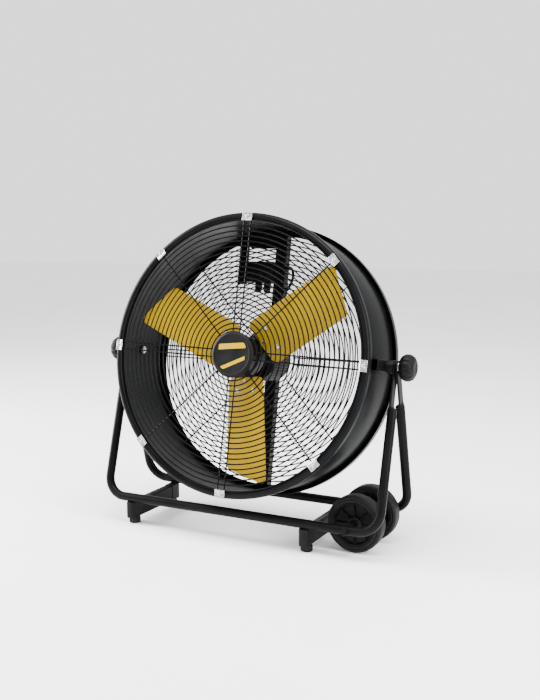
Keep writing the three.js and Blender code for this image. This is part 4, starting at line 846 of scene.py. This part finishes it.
lead_path = through(np.concatenate([LEAD_POINTS, lead_end]), 10)
on_drum("motor_cable", wire(lead_path, LEAD_RADIUS, 16, normal=(0.9, -0.3, 0.1)), "cable_rubber",
        ["motor_lead"])
BOSS_FOOT, BOSS_TOP = 52 * MM, 59.6 * MM
boss_bore = LEAD_RADIUS + 0.2 * MM
boss = turned(eased([(boss_bore, BOSS_FOOT), (7.5 * MM, BOSS_FOOT), (7.5 * MM, BOSS_FOOT + 5 * MM),
                     (6 * MM, BOSS_TOP), (boss_bore, BOSS_TOP)], 0.6 * MM), 48)
on_drum("lead_boss", moved(shifted(boss, along_z), [0, LEAD_POINTS[0, 1], 0]), "black_plastic")
print("lead length", round(float(np.linalg.norm(np.diff(lead_path, axis=0), axis=1).sum()), 3), "m")

# %% [markdown]
# ## The rotor
# Three pressed blades are riveted to the arms of a steel hub. A blade is a flat sheet that is
# folded a little along its middle, twisted from a steep root to a flatter tip, and rounded at its
# corners. One formula places any point of it: how far out, how far across and how high off its face.

# %% Blade formula
TIP_RADIUS = SHELL - 17 * MM
BLADE_ROOT = 51 * MM
BLADE_WIDTH = 118 * MM
BLADE_LENGTH = math.sqrt(TIP_RADIUS ** 2 - (BLADE_WIDTH / 2) ** 2) - BLADE_ROOT
BLADE_PLANE = -45 * MM
BLADE_SHEET = 2 * MM
ROOT_PITCH, TIP_PITCH = math.radians(18.5), math.radians(9)
FOLD = 0.055
CREASE = 2.5 * MM
TIP_SLANT = 30 * MM
BLADE_ANGLES = [35.7, 155.7, 275.7]


def on_blade(radius, across, height):
    """Turns (across, height + fold) by the pitch at that radius. The fold is a softened |across|."""
    pitch = ROOT_PITCH + (TIP_PITCH - ROOT_PITCH) * (radius - BLADE_ROOT) / (TIP_RADIUS - BLADE_ROOT)
    rise = height + FOLD * (np.sqrt(across ** 2 + CREASE ** 2) - CREASE)
    x = across * np.cos(pitch) - rise * np.sin(pitch)
    y = BLADE_PLANE + across * np.sin(pitch) + rise * np.cos(pitch)
    return np.stack([x, y, radius + 0 * across], -1)


def blade_sheet(inner, length, width, top, roundness, slant, along=28, across=14):
    """A stadium-shaped section at each station. Near an end its half width drops by r (1 - sin a)."""
    a = np.linspace(0, np.pi / 2, 9)
    corner = roundness * (1 - np.cos(a))
    station = np.concatenate([corner, np.linspace(roundness, length - roundness, along)[1:-1],
                              (length - corner)[::-1]])
    inset = np.concatenate([roundness * (1 - np.sin(a)), np.zeros(along - 2),
                            (roundness * (1 - np.sin(a)))[::-1]])
    half = width / 2 - inset
    edge = BLADE_SHEET / 2
    turn_out = np.linspace(-np.pi / 2, np.pi / 2, 5)
    s = np.linspace(-1, 1, across)
    side = np.concatenate([s, np.ones(5), s[::-1], -np.ones(5)])
    lift = np.concatenate([np.full(across, -edge), edge * np.sin(turn_out),
                           np.full(across, edge), edge * np.sin(-turn_out)])
    out = np.concatenate([np.zeros(across), edge * np.cos(turn_out),
                          np.zeros(across), -edge * np.cos(turn_out)])
    place = side[None] * (half[:, None] - edge) + out[None]
    radius = inner + station[:, None] - slant * (station[:, None] / length) * (place / half[:, None] + 1) / 2
    return carried(on_blade(radius, place, top - edge + lift[None] + 0 * place))


def drum_angle(shape, degrees):
    """The shape carried from the drum's top to an angle round its axis."""
    return shifted(shape, lambda p: round_the_axis(p, math.radians(degrees)))


one_blade = blade_sheet(BLADE_ROOT, BLADE_LENGTH, BLADE_WIDTH, BLADE_SHEET, 14 * MM, TIP_SLANT)
for number, degrees in enumerate(BLADE_ANGLES, 1):
    on_drum(f"yellow_blade_{number}", drum_angle(one_blade, degrees), "yellow_steel", [f"blade_{number}"],
            body="rotor", sharp=60)
print("blade points:", len(one_blade[0]))

# %% Hub, arms and rivets
HUB_RADIUS = 48 * MM
HUB_FRONT = -70 * MM
HUB_REAR = BLADE_PLANE + 14 * MM
BOSS_RADIUS = 20 * MM
ARM_TOP = 2 * BLADE_SHEET + 0.3 * MM
ARM_WIDTH, ARM_TIP = 68 * MM, 98 * MM
RIVET_SPOTS = [(61 * MM, 0), (82 * MM, 26 * MM), (82 * MM, -26 * MM)]
HUB_WALL, BOSS_REAR = 3 * MM, -4 * MM
hub_bore = SHAFT_RADIUS + 0.3 * MM
hub_outside = [(hub_bore, HUB_FRONT), (BOSS_RADIUS, HUB_FRONT), (HUB_RADIUS - 6 * MM, HUB_FRONT + 2 * MM),
               (HUB_RADIUS, HUB_FRONT + 8 * MM), (HUB_RADIUS, HUB_REAR)]
hub_inside = [(HUB_RADIUS - HUB_WALL, HUB_REAR), (HUB_RADIUS - HUB_WALL, HUB_FRONT + 10 * MM),
              (BOSS_RADIUS, HUB_FRONT + 6 * MM), (BOSS_RADIUS, BOSS_REAR), (hub_bore, BOSS_REAR)]
hub_profile = eased(hub_outside + hub_inside, 2.0 * MM, 5)
arm = blade_sheet(HUB_RADIUS - HUB_WALL, ARM_TIP - HUB_RADIUS, ARM_WIDTH, ARM_TOP, 10 * MM, 0, 10, 8)
on_drum("hub_cup", turned(hub_profile, 96), "motor_black", ["rotor_hub"], body="rotor")
on_drum("hub_arms", together([drum_angle(arm, degrees) for degrees in BLADE_ANGLES]), "motor_black",
        body="rotor", sharp=60)


def on_sheet(shape, radius, across):
    """Turns a piece by the blade's pitch there and moves it to its spot on the front of the sheet."""
    pitch = ROOT_PITCH + (TIP_PITCH - ROOT_PITCH) * (radius - BLADE_ROOT) / (TIP_RADIUS - BLADE_ROOT)
    c, s = math.cos(pitch), math.sin(pitch)
    turn = np.array([[c, s, 0], [-s, c, 0], [0, 0, 1]])
    spot = on_blade(np.array([radius]), np.array([across]), 0)[0]
    return shifted(shape, lambda p: p @ turn + spot)


rivet = moved(pan_head(5 * MM, 2.0 * MM, 4 * MM), [0, -0.2 * MM, 0])
rivet_set = [drum_angle(on_sheet(rivet, radius, across), degrees)
             for degrees in BLADE_ANGLES for radius, across in RIVET_SPOTS]
on_drum("blade_rivets", together(rivet_set), "zinc_steel", body="rotor")
shaft_low, shaft_high = drum_box("motor_shaft")
shaft = eased([(0, shaft_low[1]), (SHAFT_RADIUS, shaft_low[1]), (SHAFT_RADIUS, shaft_high[1]),
               (0, shaft_high[1])], 1 * MM, 3, False)
on_drum("rotor_shaft", turned(shaft, 48, False), "bare_steel", ["motor_shaft"], body="rotor")
nut_low, nut_high = drum_box("shaft_nut")
on_drum("rotor_nut", hex_head(15 * MM, nut_low[1], nut_high[1], SHAFT_RADIUS + 0.2 * MM), "zinc_steel",
        ["shaft_nut"], body="rotor", sharp=25)
print("rivets:", len(rivet_set))

# %% [markdown]
# ## The pivots
# At each side a short channel spreads the load into the drum's wall. A bolt passes through it, a
# plastic spacer, the flattened ends of both legs and a washer into a fluted hand knob.

# %% Brackets, spacers, bolts and washers
BOLT_RADIUS = 6 * MM
PIVOT_BORE = BOLT_RADIUS + 0.3 * MM


def to_side(points, side):
    """A piece drawn for the right side. For the left it turns by half a turn about the upright."""
    return np.asarray(points) * [side, side, 1]


for name, side in (("left", -1), ("right", 1)):
    low, high = drum_box(f"{name}_pivot_bracket")
    inner, outer = sorted((abs(low[0]), abs(high[0])))
    half, wall = high[2], 3 * MM
    outline = [(inner, -half), (outer, -half), (outer, half), (inner, half), (inner, half - wall),
               (outer - wall, half - wall), (outer - wall, wall - half), (inner, wall - half)]
    bracket = pushed(outline, low[1], high[1], (0, 2, 1))
    on_drum(f"{name}_bracket", shifted(bracket, lambda p: to_side(p, side)), "black_steel",
            [f"{name}_pivot_bracket"], bevel=1.3 * MM)
    low, high = drum_box(f"{name}_pivot_spacer")
    inner, outer = sorted((abs(low[0]), abs(high[0])))
    sleeve = turned(eased([(PIVOT_BORE, inner), (15 * MM, inner), (15 * MM, outer), (PIVOT_BORE, outer)],
                          1.2 * MM, 4), 64)
    on_drum(f"{name}_spacer", shifted(sleeve, lambda p: to_side(along_x(p), side)), "black_plastic",
            [f"{name}_pivot_spacer"])
    low, high = drum_box(f"{name}_pivot_bolt")
    inner, outer = sorted((abs(low[0]), abs(high[0])))
    head_end = inner + 5 * MM
    bolt_line = [(0, inner), (8 * MM, inner), (10 * MM, inner + 2 * MM), (10 * MM, head_end),
                 (BOLT_RADIUS, head_end), (BOLT_RADIUS, outer), (0, outer)]
    bolt = turned(eased(bolt_line, 0.8 * MM, 3, False), 48, False)
    on_drum(f"{name}_bolt", shifted(bolt, lambda p: to_side(along_x(p), side)), "zinc_steel",
            [f"{name}_pivot_bolt"])
    low, high = row_box(f"{name}_pivot_washer")
    inner, outer = sorted((abs(low[0]), abs(high[0])))
    washer = turned(eased([(PIVOT_BORE, inner), (14 * MM, inner), (14 * MM, outer), (PIVOT_BORE, outer)],
                          0.5 * MM), 64)
    add_piece(f"{name}_washer", shifted(washer, lambda p: to_side(along_x(p), side) + PIVOT), "stand",
              "zinc_steel", [f"{name}_pivot_washer"])
print("pivot brackets at both sides")

# %% [markdown]
# The hand knobs have ten shallow flutes. The profile of a plain domed knob is turned, and the flutes
# are a dip of the radius at ten places that fades out towards the middle of both faces.

# %% Hand knobs
knob_low, knob_high = row_box("right_knob")
KNOB_INNER, KNOB_OUTER = knob_low[0], knob_high[0]
KNOB_RADIUS = knob_high[2] - PIVOT[2]
KNOB_FLUTES = 10
FLUTE_SHARE = 0.07


def flutes(t, radius):
    """Share of the radius that is left: it dips at ten angles, and the dips fade out from 24 to 16 mm."""
    dip = np.clip(np.cos(KNOB_FLUTES * t), 0, 1) ** 1.2
    return 1 - FLUTE_SHARE * dip * np.clip((radius - 16 * MM) / (8 * MM), 0, 1)


knob_side = [(PIVOT_BORE, KNOB_INNER), (KNOB_RADIUS - 13 * MM, KNOB_INNER),
             (KNOB_RADIUS - 5 * MM, KNOB_INNER + 4 * MM), (KNOB_RADIUS, KNOB_INNER + 13 * MM),
             (KNOB_RADIUS, KNOB_OUTER - 14 * MM), (KNOB_RADIUS - 4 * MM, KNOB_OUTER - 6 * MM)]
knob_dome = [(KNOB_RADIUS - 12 * MM, KNOB_OUTER - 1 * MM), (12 * MM, KNOB_OUTER),
             (10 * MM, KNOB_OUTER - 1.2 * MM), (0, KNOB_OUTER - 1.2 * MM)]
knob_inside = [(0, KNOB_OUTER - 7 * MM), (PIVOT_BORE, KNOB_OUTER - 7 * MM)]
knob_profile = eased(knob_side + knob_dome + knob_inside, 2.6 * MM, 5)
for name, side in (("left", -1), ("right", 1)):
    knob = turned(knob_profile, 160, swell=flutes)
    add_piece(f"{name}_hand_knob", shifted(knob, lambda p: to_side(along_x(p), side) + PIVOT), f"{name}_knob",
              "black_plastic", [f"{name}_knob"], sharp=55)
print("knob radius", round(KNOB_RADIUS, 4))

# %% [markdown]
# ## The stand
# Each of the two stand tubes is one bent U whose ends are pressed flat and meet at the pivot. The
# section changes as it is carried along: a circle on the tube, and a thin wide eye at the ends.

# %% Bent tubes
wheel_low, wheel_high = row_box("front_wheel_tyre")
TUBE_RADIUS = 11 * MM
TUBE_HEIGHT = (wheel_low[2] + wheel_high[2]) / 2
SPREAD = 368 * MM
FRONT_STANCE, REAR_STANCE = -107 * MM, 95 * MM
BEND = 50 * MM
EYE_HALF_THICKNESS, EYE_RADIUS, EYE_NECK = 2.5 * MM, 15 * MM, 99 * MM
BAR_HALF_WIDTH, SHOULDER = 12.5 * MM, 11 * MM
RISE = PIVOT[2] - TUBE_HEIGHT


def tube_stations(leg_length):
    """Stations (x, up the leg) of the U: eye, leg, quarter bend, run, quarter bend, leg, eye."""
    neck_height = leg_length - EYE_NECK
    tip = leg_length + EYE_RADIUS * np.sin(np.linspace(np.pi / 2, 0, 10))
    bar = np.linspace(leg_length, neck_height + SHOULDER, 16)[1:]
    neck = np.linspace(neck_height + SHOULDER, neck_height, 12)[1:]
    leg = np.linspace(neck_height, BEND, 8)[1:]
    heights = np.concatenate([tip, bar, neck, leg])
    down = np.stack([np.full(len(heights), -SPREAD), heights], -1)
    bend = circle(BEND, 17, np.pi, np.pi / 2)[1:] + [BEND - SPREAD, BEND]
    run = np.stack([np.linspace(BEND - SPREAD, 0, 8)[1:], np.zeros(7)], -1)
    half = np.concatenate([down, bend, run])
    return np.concatenate([half, (half * [-1, 1])[-2::-1]])


def bent_tube(stance, eye_shift):
    """Each section is |cos|^p, |sin|^p with p from 1, a circle, to a flat stadium at the eyes."""
    leg_length = math.hypot(RISE, stance)
    path = tube_stations(leg_length)
    ahead, behind = np.roll(path, -1, 0), np.roll(path, 1, 0)
    ahead[-1], behind[0] = path[-1], path[0]
    tangent = ahead - behind
    tangent[0], tangent[-1] = (0, -1), (0, 1)
    tangent /= np.linalg.norm(tangent, axis=1, keepdims=True)
    flat = smoothstep(path[:, 1], leg_length - EYE_NECK, leg_length - EYE_NECK + SHOULDER)
    widening = smoothstep(path[:, 1], leg_length - 40 * MM, leg_length - 8 * MM)
    beyond = np.clip(path[:, 1] - leg_length, 0, EYE_RADIUS * 0.9995)
    eye = np.sqrt(EYE_RADIUS ** 2 - beyond ** 2)
    across = TUBE_RADIUS + (EYE_HALF_THICKNESS - TUBE_RADIUS) * flat
    along = TUBE_RADIUS + (BAR_HALF_WIDTH + (eye - BAR_HALF_WIDTH) * widening - TUBE_RADIUS) * flat
    power = (1 - 0.75 * flat)[:, None]
    a = np.linspace(0, 2 * np.pi, 32, endpoint=False)[None]
    c, s = np.cos(a), np.sin(a)
    u = across[:, None] * np.sign(c) * np.abs(c) ** power
    v = along[:, None] * np.sign(s) * np.abs(s) ** (1 - 0.35 * flat[:, None])
    x = path[:, :1] - tangent[:, 1:] * u + np.sign(path[:, :1]) * eye_shift * flat[:, None]
    up = path[:, 1:] + tangent[:, :1] * u
    lean = np.array([-stance, RISE]) / leg_length
    y = stance + up * lean[0] + v * lean[1]
    z = TUBE_HEIGHT + up * lean[1] - v * lean[0]
    return carried(np.stack([x, y + PIVOT[1], z], -1))


EYE_SHIFT = EYE_HALF_THICKNESS + 0.15 * MM
add_piece("front_bent_tube", bent_tube(FRONT_STANCE, -EYE_SHIFT), "stand", "black_steel",
          ["front_frame_tube"], sharp=60)
add_piece("rear_bent_tube", bent_tube(REAR_STANCE, EYE_SHIFT), "stand", "black_steel",
          ["rear_frame_tube"], sharp=60)
print("pivot above the lower runs", round(RISE, 4))

# %% [markdown]
# ## The base
# Two channels run front to back under the tubes. A moulded block closes each end, and a ribbed
# rubber foot stands under each block. The ribs are a ripple of the foot's radius.

# %% Base bars, blocks and feet
BAR_WALL, BAR_CORNER = 3 * MM, 4 * MM
FOOT_RIBS = 24
for side in ("left", "right"):
    low, high = row_box(f"{side}_base_bar")
    middle, half = (low[0] + high[0]) / 2, (high[0] - low[0]) / 2
    top, bottom = high[2], low[2]
    roof = top - BAR_WALL
    outline = [(-half, bottom), (BAR_WALL - half, bottom), (BAR_WALL - half, roof), (half - BAR_WALL, roof),
               (half - BAR_WALL, bottom), (half, bottom), (half, top - BAR_CORNER), (half - BAR_CORNER, top),
               (BAR_CORNER - half, top), (-half, top - BAR_CORNER)]
    bar = pushed([(middle + x, z) for x, z in outline], low[1], high[1], (0, 2, 1))
    add_piece(f"{side}_channel_bar", bar, "stand", "black_steel", [f"{side}_base_bar"], bevel=0.8 * MM)
    for end, sign in (("front", -1), ("rear", 1)):
        low, high = row_box(f"{end}_{side}_foot_block")
        width, chamfer = high[0] - low[0], 6 * MM
        inner, outer = (high[1], low[1]) if sign < 0 else (low[1], high[1])
        cut_back = outer - sign * chamfer
        outline = [(low[0], inner), (high[0], inner), (high[0], cut_back), (high[0] - chamfer, outer),
                   (low[0] + chamfer, outer), (low[0], cut_back)]
        block_top = row_box(f"{side}_base_bar")[1][2]
        add_piece(f"{end}_{side}_end_block", pushed(outline, low[2], block_top), "stand", "black_plastic",
                  [f"{end}_{side}_foot_block"], bevel=1.6 * MM)
        low, high = row_box(f"{end}_{side}_rubber_foot")
        radius, centre = (high[0] - low[0]) / 2, (low + high) / 2
        foot_line = [(0, low[2]), (radius - 1.5 * MM, low[2]), (radius, low[2] + 2 * MM),
                     (radius, high[2] - 2 * MM), (radius - 1.5 * MM, high[2]), (0, high[2])]
        foot = turned(eased(foot_line, 0.8 * MM, 3, False), 192, False,
                      lambda t, r: 1 - 0.07 * (0.5 + 0.5 * np.cos(FOOT_RIBS * t)) * (r > 10 * MM))
        place = np.array([centre[0], centre[1], 0])
        add_piece(f"{end}_{side}_ribbed_foot", shifted(foot, lambda p: along_z(p) + place), "stand",
                  "foot_rubber", [f"{end}_{side}_rubber_foot"], sharp=60)
print("bars and feet done")

# %% [markdown]
# ## The wheels
# The two transport wheels stand side by side between the tubes. Each has a solid tyre with a ring
# groove near its edge, on a moulded rim whose recessed face is divided by radial ribs.

# %% Tyres, rims and axle
WHEEL_RADIUS = (wheel_high[2] - wheel_low[2]) / 2
WHEEL_HALF = (wheel_high[1] - wheel_low[1]) / 2
AXLE_RADIUS = 6 * MM
RIM_SEAT = WHEEL_RADIUS - 15 * MM
RIBS = 8


def rim_shape():
    """Face height falls by a pocket depth where r is between hub and bead and t is between two ribs."""
    t = np.linspace(0, 2 * np.pi, 192, endpoint=False)[:, None]
    r = np.concatenate([np.linspace(15, 18, 4), np.linspace(19, 46, 14), np.linspace(47, 49, 3)]) * MM
    pocket = (smoothstep(r, 15.5 * MM, 19 * MM) - smoothstep(r, 45 * MM, 48 * MM))[None]
    between = smoothstep(np.abs(np.sin(RIBS * t / 2)) * r[None], 2.5 * MM, 7 * MM)
    depth = WHEEL_HALF - 1 * MM - 9 * MM * pocket * (0.25 + 0.75 * between)
    ones = np.ones_like(t)
    bore, seat = AXLE_RADIUS + 0.35 * MM, RIM_SEAT - 0.3 * MM
    front_r = np.concatenate([[bore, 13 * MM], r, [seat - 1 * MM, seat]])
    radius = ones * np.concatenate([front_r, front_r[::-1]])[None]
    edge = ones * (WHEEL_HALF - 0.3 * MM)
    face = np.concatenate([edge, edge, depth, edge, edge - 1 * MM], 1)
    y = np.concatenate([-face, face[:, ::-1]], 1)
    return carried(np.stack([radius * np.cos(t), y, radius * np.sin(t)], -1), True)


half = WHEEL_HALF
groove = [(RIM_SEAT + 5.4 * MM, -half), (RIM_SEAT + 6 * MM, -half + 1.4 * MM),
          (RIM_SEAT + 7.4 * MM, -half + 1.4 * MM), (RIM_SEAT + 8 * MM, -half)]
shoulder = [(WHEEL_RADIUS - 4.5 * MM, -half + 0.2 * MM), (WHEEL_RADIUS - 1.2 * MM, -half + 2.6 * MM),
            (WHEEL_RADIUS, -half + 7 * MM)]
tyre_front = [(RIM_SEAT, -half), *groove, *shoulder]
tyre_profile = eased(tyre_front + [(r, -y) for r, y in tyre_front[::-1]], 0.8 * MM)
for name in ("front", "rear"):
    low, high = row_box(f"{name}_wheel_tyre")
    centre = (low + high) / 2
    add_piece(f"{name}_solid_tyre", moved(turned(tyre_profile, 128), centre), f"{name}_wheel", "tyre",
              [f"{name}_wheel_tyre"])
    add_piece(f"{name}_moulded_rim", moved(rim_shape(), centre), f"{name}_wheel", "black_plastic",
              [f"{name}_wheel_rim"], sharp=50)

axle_low, axle_high = row_box("wheel_axle")
axle_place = (axle_low + axle_high) / 2
reach = (axle_high[1] - axle_low[1]) / 2
axle_rod = eased([(0, -reach), (AXLE_RADIUS, -reach), (AXLE_RADIUS, reach), (0, reach)], 0.8 * MM, 3, False)
add_piece("axle_rod", moved(turned(axle_rod, 48, False), axle_place), "stand", "black_steel", ["wheel_axle"])
axle_bore = AXLE_RADIUS + 0.3 * MM
for name in ("middle", "front", "rear"):
    low, high = row_box(f"{name}_wheel_spacer")
    outer = 10 * MM
    start, end = low[1] - axle_place[1], high[1] - axle_place[1]
    sleeve = turned(eased([(axle_bore, start), (outer, start), (outer, end), (axle_bore, end)], 0.8 * MM), 48)
    add_piece(f"{name}_axle_sleeve", moved(sleeve, axle_place), "stand", "black_plastic",
              [f"{name}_wheel_spacer"])
for name in ("front", "rear"):
    low, high = row_box(f"{name}_axle_nut")
    start, end = low[1] - axle_place[1], high[1] - axle_place[1]
    add_piece(f"{name}_hex_nut", moved(hex_head(10 * MM, start, end, axle_bore), axle_place), "stand",
              "black_steel", [f"{name}_axle_nut"], sharp=25)
print("wheel radius", round(WHEEL_RADIUS, 4))

# %% [markdown]
# ## What stays as CAD
# A few pieces lie inside the motor or the box, where only an exploded view would show them. They
# keep their CAD meshes and get the same finishes as the rest.

# %% Finishes for the carried-over nodes
carried_over = {"motor_core": "bare_steel", "motor_front_bearing": "bare_steel",
                "motor_rear_bearing": "bare_steel", "capacitor": "capacitor_plastic",
                "switch_body": "black_plastic", "cap_screw": "zinc_steel"}
for name, slot in carried_over.items():
    node = frame["nodes"][name]
    node.data.materials.clear()
    node.data.materials.append(finishes[slot])
print("kept:", sorted(carried_over))

# %% [markdown]
# ## Floor and light
# The photograph is a cut-out on white, lit by large soft panels. A pale floor stands in for the
# white. A broad panel at the left gives the long soft lines on the tubes, a smaller one at the
# right lights the drum's outside, and one above puts the bright line on the rim.


# %% Floor, panels and sky
def make_floor():
    """A square of floor, pale and nearly matt, with a faint cloudiness of its colour."""
    mesh = bpy.data.meshes.new("floor")
    size = 12.0
    corners = [(-size, -size, 0), (size, -size, 0), (size, size, 0), (-size, size, 0)]
    mesh.from_pydata(corners, [], [(0, 1, 2, 3)])
    floor = bpy.data.objects.new("floor", mesh)
    bpy.context.scene.collection.objects.link(floor)
    paint = make_finish("floor_paint", (0.90, 0.90, 0.90), (0.93, 0.93, 0.93), (0.75, 0.85),
                        broad=2.0, fine=60.0, relief=0.01)
    mesh.materials.append(paint)
    floor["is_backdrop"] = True
    return floor


def make_panel(name, place, aim, size, power):
    """A rectangular area light at a place, turned towards the point it is aimed at."""
    light = bpy.data.lights.new(name, "AREA")
    light.shape = "RECTANGLE"
    light.size, light.size_y = size
    light.energy = power
    panel = bpy.data.objects.new(name, light)
    bpy.context.scene.collection.objects.link(panel)
    panel.location = place
    panel.rotation_euler = (Vector(aim) - Vector(place)).to_track_quat("-Z", "Y").to_euler()
    panel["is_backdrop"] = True
    return panel


make_floor()
drum_middle = Vector(PIVOT)
make_panel("left_panel", (-2.8, -0.8, 1.4), drum_middle, (0.9, 2.2), 330)
make_panel("right_panel", (2.6, -0.6, 1.5), drum_middle, (0.5, 2.0), 120)
make_panel("top_panel", (0.3, -0.6, 3.0), drum_middle, (2.2, 1.2), 190)

sky = bpy.data.worlds.new("sky")
bpy.context.scene.world = sky
sky.use_nodes = True
sky.node_tree.nodes["Background"].inputs["Color"].default_value = (1.0, 1.0, 1.0, 1)
sky.node_tree.nodes["Background"].inputs["Strength"].default_value = 1.8
print("lights: three panels and a white sky")

low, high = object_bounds()
print("pieces:", piece_count, "visual box", [round(v, 4) for v in (*low, *high)])
